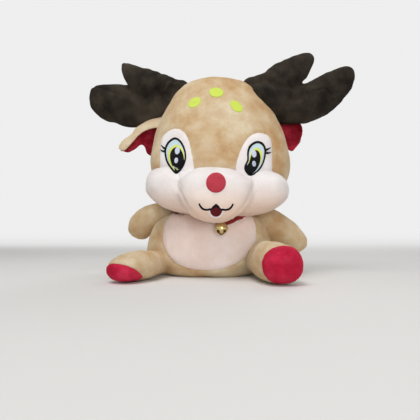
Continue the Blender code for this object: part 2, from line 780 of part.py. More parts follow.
def make_bell():
    pivot = empty("bell_pivot", BELL_JOINT, (BELL_LEAN, 0, 0))
    radius = BELL["radius"]
    inner = radius - BELL["wall"]
    flange = radius + BELL["rim"]
    thick = BELL["wall"]
    middle = -BELL["drop"]
    half_gap = GAP / 2
    upper = [(0.9, middle + radius)] + arc(radius, 12, 84, 4, middle)
    upper += [(flange, middle + thick + half_gap), (flange, middle + half_gap), (inner, middle + half_gap)]
    upper += arc(inner, 84, 12, 4, middle) + [(0.9, middle + inner)]
    place("bell_upper_half", turned_mesh(upper), "brass", pivot, local=True)
    lower = [(1.0, middle - radius)] + arc(radius, 168, 96, 4, middle)
    lower += [(flange, middle - thick - half_gap), (flange, middle - half_gap), (inner, middle - half_gap)]
    lower += arc(inner, 96, 168, 4, middle) + [(1.0, middle - inner)]
    cup = turned_mesh(lower)
    slots = [bell_slot(long, wide, middle - radius + 1) for long, wide in (BELL_SLOT, BELL_SLOT[::-1])]
    place("bell_lower_half", cut(cup, *slots), "brass", pivot, local=True)
    place("bell_shank", wire_ring(SHANK["radius"], SHANK["wire"]), "brass", pivot, local=True)
    clapper_pivot = empty("clapper_pivot", (0, 0, 0))
    clapper_pivot.parent = pivot
    low = middle - inner + CLAPPER_RADIUS + 1.0
    clapper_pivot.location = Vector((0, 0, low)) * MM
    place("bell_clapper", ball((0, 0, 0), CLAPPER_RADIUS, 14, 8), "brass", clapper_pivot, local=True)


def wire_ring(radius, wire):
    """Ring of round wire that stands upright about the pivot, with its axis along X."""
    profile = [(radius + wire * cos(2 * pi * step / 6), wire * sin(2 * pi * step / 6)) for step in range(6)]
    return moved(turned_mesh(profile, 14), Matrix.Rotation(radians(90), 4, "Y"))


def make_tie(face_y):
    """Thread loop, stitched to the ribbon at both ends, that the bell's shank hangs on."""
    reach = face_y - BELL_JOINT.y
    rings = []
    for step in range(TIE["steps"] + 1):
        angle = pi * step / TIE["steps"]
        x = BELL_JOINT.x - TIE["wide"] * cos(angle)
        rings.append(((x, face_y - reach * sin(angle) ** 0.6, BELL_JOINT.z), TIE["wire"], TIE["wire"]))
    place("bell_tie", mesh_of(bridged(limb(rings, (0, 0, 1), 8, grow=1))), "thread")


def collar_front():
    """Y of the ribbon's front face where the tie meets it, measured on the ribbon itself."""
    graph = bpy.context.evaluated_depsgraph_get()
    ribbon = bpy.data.objects["collar_ribbon"].evaluated_get(graph)
    fronts = []
    for x in (BELL_JOINT.x - TIE["wide"], BELL_JOINT.x + TIE["wide"]):
        hit, spot, *_ = ribbon.ray_cast(Vector((x, -150, BELL_JOINT.z)) * MM, Vector((0, 1, 0)))
        if hit:
            fronts.append(spot.y / MM)
    return min(fronts) - GAP


clear_scene()
parts = collection("plush_deer")
body_room = make_body()
make_tail(body_room)
make_arms(body_room)
make_legs(body_room)
head_room = make_head()
make_antlers(head_room)
make_ears(head_room)
make_neck_seam()
make_bell()
make_tie(collar_front())
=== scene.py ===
from math import cos, exp, pi, radians, sin, sqrt

import bmesh
import bpy
from mathutils import Matrix, Vector, noise
from mathutils.bvhtree import BVHTree
from mathutils.kdtree import KDTree


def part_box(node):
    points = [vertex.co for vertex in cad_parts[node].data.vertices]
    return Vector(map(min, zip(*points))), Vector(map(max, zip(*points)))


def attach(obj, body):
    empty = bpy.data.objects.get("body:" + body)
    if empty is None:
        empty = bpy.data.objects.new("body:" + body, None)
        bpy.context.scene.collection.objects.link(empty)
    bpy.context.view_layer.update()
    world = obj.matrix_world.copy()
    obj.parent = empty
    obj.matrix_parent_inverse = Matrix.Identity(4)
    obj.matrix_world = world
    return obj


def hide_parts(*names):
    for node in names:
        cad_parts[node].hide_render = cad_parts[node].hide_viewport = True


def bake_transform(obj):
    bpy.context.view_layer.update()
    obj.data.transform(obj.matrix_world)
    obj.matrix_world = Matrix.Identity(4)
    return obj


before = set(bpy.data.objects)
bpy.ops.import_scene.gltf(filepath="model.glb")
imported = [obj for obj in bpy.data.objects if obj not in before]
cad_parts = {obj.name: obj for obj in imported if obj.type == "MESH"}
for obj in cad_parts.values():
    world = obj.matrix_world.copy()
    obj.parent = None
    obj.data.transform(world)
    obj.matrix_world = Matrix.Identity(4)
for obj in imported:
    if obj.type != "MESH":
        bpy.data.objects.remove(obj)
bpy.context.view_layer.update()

# A seated plush deer. It faces -Y, +Z is up, and the seat's middle is the origin.
# Sizes are in millimetres and become metres as each vertex is placed.
scene = bpy.context.scene
mm = 0.001
hands = {"left": -1, "right": 1}

# The camera: its eye, its focal length in pixels, where its straight-ahead line falls in the picture, and about
# how far off the front of the deer is, in metres
photo = {"size": 420, "focal": 340.0, "middle": 209.5, "horizon": 235.0, "eye": (0, -600, 68), "reach": 0.52}


def lineOfSight(px, py):
    # direction in which the camera sees a pixel
    return Vector(((px - photo["middle"]) / photo["focal"], 1, (photo["horizon"] - py) / photo["focal"]))


def atDepth(px, py, y):
    # the point behind a pixel that lies at this depth
    return Vector(photo["eye"]) + lineOfSight(px, py) * (y - photo["eye"][1])


# Materials

def colour(red, green, blue):
    # a colour as it is picked on screen, 0 to 255, in the shader's own scale
    parts = []
    for value in (red, green, blue):
        share = value / 255
        parts.append(share / 12.92 if share <= 0.04045 else ((share + 0.055) / 1.055) ** 2.4)
    return (*parts, 1)


class Nodes:
    # a tree of shader nodes, added one at a time and joined
    def __init__(self, tree):
        self.tree = tree

    def add(self, kind, **settings):
        node = self.tree.nodes.new(kind)
        for key, value in settings.items():
            if hasattr(node, key):
                setattr(node, key, value)
            else:
                node.inputs[key.replace("_", " ")].default_value = value
        return node

    def join(self, source, target):
        self.tree.links.new(source, target)

    def seenPlainly(self):
        # 1 where the camera sees it, also in a shiny surface or through a clear one, and 0 for the light it gives
        path = self.add("ShaderNodeLightPath")
        seen = path.outputs["Is Camera Ray"]
        for name in ("Is Glossy Ray", "Is Transmission Ray"):
            either = self.add("ShaderNodeMath", operation="MAXIMUM")
            self.join(seen, either.inputs[0])
            self.join(path.outputs[name], either.inputs[1])
            seen = either.outputs[0]
        return seen

    def mixShaders(self, share, first, second, output):
        mixed = self.add("ShaderNodeMixShader")
        for source, socket in zip((share, first.outputs[0], second.outputs[0]), mixed.inputs):
            self.join(source, socket)
        self.join(mixed.outputs[0], self.tree.nodes[output].inputs["Surface"])


class Shading(Nodes):
    # a material's nodes
    def __init__(self, name):
        self.material = bpy.data.materials.new(name)
        self.material.use_nodes = True
        super().__init__(self.material.node_tree)
        self.shader = self.tree.nodes["Principled BSDF"]
        self.place = self.add("ShaderNodeTexCoord").outputs["Object"]

    def placed(self, **settings):
        # the piece's own coordinates, turned or stretched
        mapping = self.add("ShaderNodeMapping", **settings)
        self.join(self.place, mapping.inputs["Vector"])
        return mapping.outputs["Vector"]

    def spots(self, scale, detail, stretch=(1, 1, 1), rough=0.5):
        # noise on the piece's own coordinates
        texture = self.add("ShaderNodeTexNoise", Scale=scale, Detail=detail, Roughness=rough)
        self.join(self.placed(Scale=stretch), texture.inputs["Vector"])
        return texture.outputs["Fac"]

    def fade(self, axis, start, end):
        # 0 to 1 along an axis, between two places on it in metres
        apart = self.add("ShaderNodeSeparateXYZ")
        self.join(self.place, apart.inputs[0])
        share = self.add("ShaderNodeMapRange", interpolation_type="SMOOTHSTEP", From_Min=start, From_Max=end)
        self.join(apart.outputs[axis], share.inputs["Value"])
        return share.outputs["Result"]

    def ramp(self, source, stops):
        node = self.add("ShaderNodeValToRGB")
        band = node.color_ramp
        while len(band.elements) < len(stops):
            band.elements.new(0.5)
        for element, (place, tint) in zip(band.elements, stops):
            element.position = place
            element.color = tint
        self.join(source, node.inputs["Fac"])
        return node.outputs["Color"]

    def blendOf(self, share, first, second, how="MIX"):
        node = self.add("ShaderNodeMix", data_type="RGBA", blend_type=how)
        for socket, value in ((node.inputs[0], share), (node.inputs[6], first), (node.inputs[7], second)):
            if hasattr(value, "links"):
                self.join(value, socket)
            else:
                socket.default_value = value
        return node.outputs[2]

    def bump(self, layers):
        # layers of (height, strength, distance in millimetres), laid over each other
        last = None
        for height, strength, distance in layers:
            node = self.add("ShaderNodeBump", Strength=strength, Distance=distance * mm)
            self.join(height, node.inputs["Height"])
            if last:
                self.join(last, node.inputs["Normal"])
            last = node.outputs["Normal"]
        self.join(last, self.shader.inputs["Normal"])

    def finish(self, tint, roughness, **others):
        if hasattr(tint, "links"):
            self.join(tint, self.shader.inputs["Base Color"])
        else:
            self.shader.inputs["Base Color"].default_value = tint
        self.shader.inputs["Roughness"].default_value = roughness
        for key, value in others.items():
            self.shader.inputs[key.replace("_", " ")].default_value = value
        return self.material


# Short plush pile: brushed patches of lighter and darker nap, single fibres, and a soft glow at the edges
pileSettings = {
    "tanPile": {"dark": (188, 146, 100), "base": (205, 180, 143), "light": (221, 207, 180), "cloud": 13, "patch": 42},
    "whitePile": {"dark": (230, 221, 219), "base": (238, 232, 230), "light": (246, 242, 241), "cloud": 14, "patch": 40,
                  # the low tint is painted warm bounce light and shade, fading in from the first height down to the
                  # second, in metres
                  "low": (240, 212, 192), "from": 0.152, "to": 0.092},
    "blushPile": {"dark": (232, 209, 199), "base": (240, 221, 213), "light": (246, 233, 228), "cloud": 12, "patch": 36},
    "redPile": {"dark": (166, 22, 48), "base": (192, 34, 64), "light": (208, 60, 86), "cloud": 24, "patch": 60},
    "earRedPile": {"dark": (118, 16, 30), "base": (154, 28, 46), "light": (186, 58, 72), "cloud": 28, "patch": 70},
    "brownVelvet": {"dark": (28, 24, 20), "base": (48, 42, 35), "light": (72, 65, 55), "cloud": 15, "patch": 38,
                    "steps": (0.4, 0.5, 0.7)},
}


def pile(name):
    made = pileSettings[name]
    shading = Shading(name)
    stops = [colour(*made[tone]) for tone in ("dark", "base", "light")]
    cloud = shading.spots(made["cloud"], 2.0)
    nap = shading.spots(made["patch"], 4.0, rough=0.6)
    broad = shading.ramp(cloud, list(zip((0.36, 0.5, 0.66), stops)))
    near = shading.ramp(nap, list(zip(made.get("steps", (0.36, 0.52, 0.68)), stops)))
    tint = shading.blendOf(0.5, broad, near)
    if "low" in made:
        # painted warm bounce light and shade: the colour turns warmer towards the chin
        tint = shading.blendOf(shading.fade("Z", made["from"], made["to"]), tint, colour(*made["low"]))
    fibre = shading.spots(1500, 2.0, stretch=(1, 1, 0.45))
    speck = shading.ramp(fibre, [(0.3, (0.78, 0.78, 0.78, 1)), (0.6, (1, 1, 1, 1))])
    tint = shading.blendOf(0.5, tint, speck, "MULTIPLY")
    tuft = shading.spots(330, 3.0)
    shading.bump([(nap, 0.2, 2.5), (tuft, 0.35, 0.8), (fibre, 0.5, 0.3)])
    return shading.finish(tint, 0.95, Sheen_Weight=0.3, Sheen_Roughness=0.45, Sheen_Tint=stops[2],
                          Specular_IOR_Level=0.12)


# Embroidery: rows of thread laid side by side
threadSettings = {
    "blackThread": {"base": (4, 5, 9), "light": (13, 15, 21), "turn": 25, "shine": 0.1},
    "pupilThread": {"base": (4, 5, 9), "light": (17, 14, 15), "turn": 75, "shine": 0.1},
    "skyThread": {"base": (182, 210, 220), "light": (212, 231, 238), "turn": 12, "shine": 0.3},
    "irisThread": {"base": (208, 212, 70), "light": (232, 236, 140), "turn": 68, "shine": 0.3},
    "glintThread": {"base": (188, 196, 226), "light": (224, 228, 244), "turn": 20, "shine": 0.3},
    "limeThread": {"base": (190, 210, 60), "light": (210, 226, 98), "turn": 35, "shine": 0.3},
    "wineThread": {"base": (84, 14, 20), "light": (104, 26, 32), "turn": 88, "shine": 0.15},
    "paleThread": {"base": (236, 224, 222), "light": (246, 238, 236), "turn": 50, "shine": 0.3},
}


def embroidery(name):
    made = threadSettings[name]
    shading = Shading(name)
    rows = shading.add("ShaderNodeTexWave", wave_type="BANDS", bands_direction="Z", Scale=330, Distortion=1.4,
                       Detail=2.0, Detail_Scale=2.5)
    shading.join(shading.placed(Rotation=(0, radians(made["turn"]), 0)), rows.inputs["Vector"])
    tint = shading.ramp(rows.outputs["Fac"], [(0.1, colour(*made["base"])), (0.85, colour(*made["light"]))])
    shading.bump([(rows.outputs["Fac"], 0.6, 0.25)])
    return shading.finish(tint, 0.5, Anisotropic=0.5, Specular_IOR_Level=made["shine"])


def satin(name, base, light, rough):
    # smooth woven cloth with a fine close weave
    shading = Shading(name)
    weave = shading.spots(1800, 1.0, stretch=(1, 1, 0.25))
    cloud = shading.spots(60, 2.0)
    tint = shading.ramp(cloud, [(0.3, colour(*base)), (0.7, colour(*light))])
    shading.bump([(weave, 0.4, 0.15), (cloud, 0.2, 0.8)])
    return shading.finish(tint, rough, Sheen_Weight=0.2, Sheen_Roughness=0.3, Specular_IOR_Level=0.3)


def polishedBrass():
    shading = Shading("bellBrass")
    cloud = shading.spots(420, 3.0)
    tint = shading.ramp(cloud, [(0.3, colour(178, 150, 92)), (0.65, colour(228, 208, 152))])
    scratches = shading.spots(2400, 1.0, stretch=(1, 1, 0.05))
    shading.bump([(cloud, 0.12, 0.2), (scratches, 0.08, 0.05)])
    return shading.finish(tint, 0.26, Metallic=1.0)


def fibreFill():
    shading = Shading("polyesterFill")
    wisps = shading.spots(260, 6.0, stretch=(1, 0.3, 0.6), rough=0.7)
    tint = shading.ramp(wisps, [(0.3, colour(214, 214, 216)), (0.6, colour(244, 244, 244))])
    shading.bump([(wisps, 0.8, 2.0)])
    return shading.finish(tint, 1.0, Sheen_Weight=0.2)


materials = {name: pile(name) for name in pileSettings}
materials.update({name: embroidery(name) for name in threadSettings})
materials["noseSatin"] = satin("noseSatin", (166, 34, 52), (188, 48, 66), 0.55)
materials["ribbonSatin"] = satin("ribbonSatin", (120, 26, 30), (158, 44, 44), 0.4)
materials["bellBrass"] = polishedBrass()
materials["polyesterFill"] = fibreFill()
print("materials", len(materials))


# Mesh tools

def meshOf(bm, name):
    mesh = bpy.data.meshes.new(name)
    bm.to_mesh(mesh)
    return mesh


def added(name, data):
    # a new object in the scene
    made = bpy.data.objects.new(name, data)
    scene.collection.objects.link(made)
    return made


def gathered(forms):
    # several forms in one mesh
    whole = bmesh.new()
    for bm in forms:
        whole.from_mesh(meshOf(bm, "form"))
    return whole


def ringOf(points, bm):
    # one closed ring of a form, from a circle whose vertices go to the given points
    ring = bmesh.ops.create_circle(bm, segments=len(points), radius=1)
    for vert, point in zip(ring["verts"], points):
        vert.co = Vector(point) * mm
    return list({edge for vert in ring["verts"] for edge in vert.link_edges})


def lofted(sections, ends=(0, -1)):
    # form through a row of rings, with a face in the rings that are named as its ends
    bm = bmesh.new()
    rims = [ringOf(points, bm) for points in sections]
    for lower, upper in zip(rims, rims[1:]):
        bmesh.ops.bridge_loops(bm, edges=lower + upper)
    for end in ends:
        bmesh.ops.contextual_create(bm, geom=rims[end])
    bmesh.ops.recalc_face_normals(bm, faces=bm.faces)
    return bm


def applied(bm, kind, **settings):
    # the mesh after one modifier, as a new bmesh
    holder = added("work", meshOf(bm, "work"))
    bm.free()
    step = holder.modifiers.new("Step", kind)
    for key, value in settings.items():
        setattr(step, key, value)
    done = bpy.data.meshes.new_from_object(holder.evaluated_get(bpy.context.evaluated_depsgraph_get()))
    bpy.data.objects.remove(holder)
    result = bmesh.new()
    result.from_mesh(done)
    result.normal_update()
    return result


def rounded(bm, levels):
    return applied(bm, "SUBSURF", levels=levels, render_levels=levels)


def fused(forms, voxel, passes):
    # one skin round several forms, with soft creases where they meet
    bm = applied(gathered(forms), "REMESH", mode="VOXEL", voxel_size=voxel * mm, adaptivity=0.0)
    for turn in range(passes):
        bmesh.ops.smooth_vert(bm, verts=bm.verts, factor=0.5, use_axis_x=True, use_axis_y=True, use_axis_z=True)
    bm.normal_update()
    return bm


def ovalRing(middle, right, up, sides):
    angles = [2 * pi * (step + 0.5) / sides for step in range(sides)]
    return [Vector(middle) + right * cos(angle) + up * sin(angle) for angle in angles]


def keptSize(sides):
    # how much larger a cage ring is than the smooth ring that it makes
    return 3 / (2 + cos(2 * pi / sides))


def uprightForm(shape):
    # rings of height, half width, front, back and middle
    sides = shape["sides"]
    grow = keptSize(sides)
    sections = []
    for height, wide, front, back, offset in shape["rings"]:
        centre = Vector((offset, (front + back) / 2, height))
        deep = (back - front) / 2
        sections.append(ovalRing(centre, Vector((wide * grow, 0, 0)), Vector((0, deep * grow, 0)), sides))
    return lofted(sections)


def limbForm(rings, side, sides):
    # rings along a bent line: middle, half size along the side direction, half size across it
    grow = keptSize(sides)
    middles = [Vector(ring[0]) for ring in rings]
    last = len(rings) - 1
    sections = []
    for index, (middle, wide, high) in enumerate(rings):
        along = (middles[min(index + 1, last)] - middles[max(index - 1, 0)]).normalized()
        right = Vector(side) - along * Vector(side).dot(along)
        right.normalize()
        up = along.cross(right)
        sections.append(ovalRing(middle, right * wide * grow, up * high * grow, sides))
    return lofted(sections)


def lumps(bm, *rows):
    # soft unevenness of the stuffing under the cloth, in rows of size, depth and where the pattern starts
    for size, depth, start in rows:
        shift = Vector((start, start * 0.7, -start))
        for vert in bm.verts:
            wave = noise.noise(vert.co / mm / size + shift)
            vert.co += vert.normal * wave * depth * mm
        bm.normal_update()


def nearestOn(points):
    tree = KDTree(len(points))
    for index, point in enumerate(points):
        tree.insert(point, index)
    tree.balance()
    return tree


def seamGroove(bm, points, depth, width, pucker=0.0, pitch=7.0):
    # cloth drawn in along a seam, with small gathers on both sides of it
    if not points:
        return
    tree = nearestOn(points)
    for vert in bm.verts:
        spot = vert.co / mm
        near, index, distance = tree.find(spot)
        if distance > width * 4:
            continue
        fall = exp(-((distance / width) ** 2))
        gather = exp(-distance / (width * 1.6)) * pucker
        wave = sin(index * 2 * pi / pitch + 2.0 * noise.noise(spot / 9))
        vert.co += vert.normal * (-depth * fall + gather * wave) * mm
    bm.normal_update()


def smoothLine(points, count, closed=True):
    # evenly numbered points on a smooth curve through the given ones
    points = [Vector(point) for point in points]
    total = len(points)
    spans = total if closed else total - 1
    line = []
    for step in range(count):
        place = step * spans / count if closed else step * spans / (count - 1)
        index = min(int(place), spans - 1)
        share = place - index
        near = []
        for offset in (-1, 0, 1, 2):
            at = index + offset
            near.append(points[at % total] if closed else points[max(0, min(total - 1, at))])
        before, start, end, after = near
        line.append(0.5 * (2 * start + (end - before) * share
                           + (2 * before - 5 * start + 4 * end - after) * share ** 2
                           + (3 * start - before - 3 * end + after) * share ** 3))
    return line


def treeOf(*forms):
    # what a line of sight can meet: one form, or several together
    return BVHTree.FromBMesh(gathered(forms))


def onSurface(tree, px, py, lift=0.0):
    # where the camera's line through a pixel meets a piece, and a little in front of it
    eye = Vector(photo["eye"]) * mm
    spot, normal, *_ = tree.ray_cast(eye, lineOfSight(px, py).normalized())
    if spot is None:
        spot, normal, *_ = tree.find_nearest(eye + lineOfSight(px, py) * photo["reach"])
    return (spot + normal * lift * mm) / mm


def flat(outline):
    return [(*point, 0) for point in outline]


def ofPixels(tree, outline, count, closed=True):
    return [onSurface(tree, point.x, point.y) for point in smoothLine(flat(outline), count, closed)]


def piece(bm, name, material, body, nodes=(), blend=None, smooth=0):
    # a finished piece: its mesh, its cloth, what it rides on and what it stands for
    mesh = meshOf(bm, name)
    bm.free()
    mesh.shade_smooth()
    mesh.materials.append(materials[material])
    made = added(name, mesh)
    if smooth:
        step = made.modifiers.new("Smooth", "SUBSURF")
        step.levels = smooth
        step.render_levels = smooth
    if blend:
        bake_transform(made)
    else:
        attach(made, body)
    if nodes:
        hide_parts(*nodes)
    return made


def trimmed(bm, point, direction):
    # cuts off what lies beyond a plane and closes the cut
    cut = bmesh.ops.bisect_plane(
        bm,
        geom=bm.verts[:] + bm.edges[:] + bm.faces[:],
        plane_co=Vector(point) * mm,
        plane_no=Vector(direction),
        clear_outer=True,
    )
    rim = [item for item in cut["geom_cut"] if isinstance(item, bmesh.types.BMEdge)]
    bmesh.ops.edgeloop_fill(bm, edges=rim)
    bmesh.ops.recalc_face_normals(bm, faces=bm.faces)


def bendBetween(first, second, joint, along, start, end):
    # two bodies and the stretch from start to end past their joint, handed to piece, which only bakes the cover's place
    # and bends nothing
    return first, second, tuple((joint + along * start) * mm), tuple((joint + along * end) * mm)


fibreShape = {"size": 14, "uneven": 1.2, "fill": 0.8}


def filling(bm, name, body, node, depth, keep=None):
    # loose fibre inside a skin, a little smaller than the skin and lumpy
    bm.normal_update()
    for vert in bm.verts:
        wave = noise.noise(vert.co / mm / fibreShape["size"])
        vert.co -= vert.normal * (depth + fibreShape["uneven"] * (1 + wave)) * mm
    if keep:
        trimmed(bm, *keep)
    piece(bm, name, "polyesterFill", body, [node])


# Patches and embroidery

# The rows of a patch, each as a share of its outline, and how thick its cloth is
patchRows = (1, 0.97, 0.9, 0.76, 0.58, 0.38, 0.18, 0.06)
patchThick = 0.5


def backed(bm):
    # a patch that faces the camera, with the thickness of its cloth behind it
    bm.normal_update()
    if sum(part.normal.y * part.calc_area() for part in bm.faces) > 0:
        bmesh.ops.reverse_faces(bm, faces=bm.faces)
    return applied(bm, "SOLIDIFY", thickness=patchThick * mm, offset=-1)


def appliqued(tree, outline, height, points, inner=None, sunk=0.25, rows=patchRows):
    # a thin padded shape that follows a surface: an outline of pixels, drawn in row by row to its middle
    # or to an inner outline, with its edges tucked into the cloth
    outer = smoothLine(flat(outline), points)
    if inner:
        inside = smoothLine(flat(inner), points)
        rings = [[a * share + b * (1 - share) for a, b in zip(outer, inside)] for share in (1, 0.85, 0.5, 0.15, 0)]
        heights = (-sunk, height * 0.8, height, height * 0.8, -sunk)
    else:
        middle = sum(outer, Vector((0, 0, 0))) / len(outer)
        rings = [[middle + (a - middle) * share for a in outer] for share in rows]
        heights = (-sunk, height * 0.75) + (height,) * (len(rows) - 2)
    sections = []
    for ring, lift in zip(rings, heights):
        sections.append([onSurface(tree, point.x, point.y, lift) for point in ring])
    return backed(lofted(sections, ends=() if inner else (-1,)))


def stitchLine(tree, route, widths, height, points, rows=4):
    # a line of satin stitch along a route of pixels, as wide as it is told at each of its points
    line = smoothLine(flat(route), points, closed=False)
    spread = smoothLine([(wide, 0, 0) for wide in widths], points, closed=False)
    bm = bmesh.new()
    grid = bmesh.ops.create_grid(bm, x_segments=points - 1, y_segments=rows, size=1)
    for vert in grid["verts"]:
        index = round((vert.co.x + 1) / 2 * (points - 1))
        side = vert.co.y
        before = line[max(index - 1, 0)]
        after = line[min(index + 1, points - 1)]
        across = Vector((-(after - before).y, (after - before).x, 0)).normalized()
        spot = line[index] + across * side * spread[index].x / 2
        vert.co = onSurface(tree, spot.x, spot.y, height * (1 - side ** 2) - 0.15 * side ** 2) * mm
    return backed(bm)


def pixelOval(middle, wide, high, tilt, points=16):
    # an oval in the picture, turned clockwise by its tilt
    turn = radians(tilt)
    outline = []
    for step in range(points):
        across = wide * cos(2 * pi * step / points)
        down = high * sin(2 * pi * step / points)
        outline.append((middle[0] + across * cos(turn) - down * sin(turn),
                        middle[1] + across * sin(turn) + down * cos(turn)))
    return outline


# Head

neckPoint = Vector((10.5, -5, 108))
headTilt = {"Z": -1.5, "Y": 2.3}
headTurn = Matrix.Translation(neckPoint * mm)
for axis, angle in headTilt.items():
    headTurn = headTurn @ Matrix.Rotation(radians(angle), 4, axis)

# A seam, here and below, is its depth and its width. Where it has gathers, their size follows, and how many points
# of the seam's line there are to one of them.
headShape = {
    "sides": 14,
    "rings": [
        (8, 46, -48, 42, 0), (14, 82, -75, 62, 1), (34, 107, -87, 75, 3), (60, 118.5, -88, 79, 5),
        (86, 121, -86, 78, 5), (112, 117.5, -80, 75, 4), (140, 110.5, -71, 69, 2), (168, 98, -60, 60, -0.5),
        (194, 83, -49, 49, -2.5), (211, 68, -39, 39, -3.5), (222, 53, -30, 30, -4), (228, 37, -21, 21, -4.2),
        (230.5, 17, -9, 9, -4.5),
    ],
    "lumps": [(46, 2.0, 3.1), (17, 0.6, 8.4)],
    "patchSeam": (1.6, 2.0, 0.25, 6), "backSeam": (1.2, 1.8, 0.35, 9), "faceSeam": (1.3, 2.6),
}
patchShape = {
    "left": [(175.4, 128.4), (165.2, 133.2), (160.9, 141.5), (159.8, 154), (160, 166), (160.6, 177), (178, 181),
             (194, 178), (194.2, 166), (192, 154), (189.3, 141.5), (184.6, 132.4)],
    "right": [(259, 132.6), (249.9, 136), (242.9, 145), (238.2, 156), (235.6, 167), (236, 179), (254, 183),
              (271.5, 179), (272.3, 168), (272.4, 154), (271.6, 141.5), (267.6, 135)],
}


def makeHead():
    bm = rounded(uprightForm(headShape), 4)
    bm.transform(headTurn)
    bm.normal_update()
    lumps(bm, *headShape["lumps"])
    tree = treeOf(bm)
    for outline in patchShape.values():
        seamGroove(bm, ofPixels(tree, outline, 180), *headShape["patchSeam"])
    # the seam that runs up the back of the head and over its top
    back = [(offset, behind, height) for height, wide, front, behind, offset in headShape["rings"]]
    seam = [headTurn @ (point * mm) / mm for point in smoothLine(back, 120, closed=False)]
    seamGroove(bm, seam, *headShape["backSeam"])
    return bm


head = makeHead()
print("head", len(head.faces), "faces")

# The white lower face: two cheeks and a muzzle under one skin, drawn in between them
faceShape = {
    "cheeks": {
        "left": {"middle": (-60.5, -44, 33.5), "radii": (53, 54, 33)},
        "right": {"middle": (63, -44, 32), "radii": (52.5, 54, 32)},
    },
    "soft": 2.6, "tuck": 10, "drop": 14,
    "outline": [(-57, 27), (-53, 45), (-37, 55.5), (0, 58.5), (37, 55), (53, 44), (57, 25), (48, 3), (27, -15),
                (0, -22), (-29, -16), (-50, 3)],
    "middle": 20,
    "steps": [(-50, 0.86, 2), (-72, 1.0, 0), (-94, 1.02, 0), (-108, 0.93, 0), (-118, 0.74, 1), (-123, 0.42, 2)],
    "sides": 24, "voxel": 2.6, "passes": 9,
    "crease": {
        "left": [(178, 171), (176, 179), (177, 187), (181, 195), (187, 206), (193, 213)],
        "right": [(253, 173), (255, 180), (254, 187), (250, 196), (244, 206), (237, 213)],
    },
    "split": {"left": ((-51, 32), 13), "right": ((48.5, 32), -15)},
    "notch": {"places": (-52, 45), "depth": 7, "wide": 13, "from": 30, "to": 56},
    "lumps": [(30, 1.6, 5.5), (13, 0.6, 2.5)], "creaseSeam": (1.8, 3.6, 0.35, 9), "slope": 105,
}


def cheekForm(hand):
    # a ball with squarer corners, whose lower half slopes in to the chin
    shape = faceShape["cheeks"][hand]
    sign = hands[hand]
    middle = Vector(shape["middle"])
    radii = Vector(shape["radii"])
    power = 2 / faceShape["soft"]
    bm = bmesh.new()
    bmesh.ops.create_uvsphere(bm, u_segments=64, v_segments=40, radius=1)
    for vert in bm.verts:
        spread = [abs(value) ** power * (1 if value > 0 else -1) for value in vert.co]
        spot = Vector((middle[axis] + radii[axis] * spread[axis] for axis in range(3)))
        below = max(0.0, -spread[2])
        spot.x -= sign * faceShape["tuck"] * below ** 2
        spot.z -= faceShape["drop"] * below * max(0.0, 1 - abs(spot.x) / faceShape["slope"])
        vert.co = spot * mm
    return bm


def muzzleForm():
    outline = smoothLine([(x, 0, z) for x, z in faceShape["outline"]], faceShape["sides"])
    middle = Vector((0, 0, faceShape["middle"]))
    grow = keptSize(faceShape["sides"])
    sections = []
    for forward, share, rise in faceShape["steps"]:
        sections.append([middle + (point - middle) * share * grow + Vector((0, forward, rise)) for point in outline])
    return rounded(lofted(sections), 2)


def makeFace():
    forms = [cheekForm(hand) for hand in hands] + [muzzleForm()]
    bm = fused(forms, faceShape["voxel"], faceShape["passes"])
    notch = faceShape["notch"]
    for vert in bm.verts:
        # under each eye the top edge dips between muzzle and cheek
        spot = vert.co / mm
        rise = min(1, max(0, (spot.z - notch["from"]) / (notch["to"] - notch["from"])))
        dip = max(exp(-((spot.x - place) / notch["wide"]) ** 2) for place in notch["places"])
        vert.co.z -= notch["depth"] * rise * dip * mm
    bm.transform(headTurn)
    bm.normal_update()
    lumps(bm, *faceShape["lumps"])
    tree = treeOf(bm)
    for route in faceShape["crease"].values():
        seamGroove(bm, ofPixels(tree, route, 60, closed=False), *faceShape["creaseSeam"])
    return bm


face = makeFace()
faceTree = treeOf(face)
print("lower face", len(face.faces), "faces")


def creaseLine(bm, tree, reach):
    # the vertices of a form that lie beside another one
    line = []
    for vert in bm.verts:
        spot, normal, index, distance = tree.find_nearest(vert.co)
        if distance < reach * mm:
            line.append(vert.co / mm)
    return line


seamGroove(head, creaseLine(head, faceTree, 2.0), *headShape["faceSeam"])
headTree = treeOf(head)

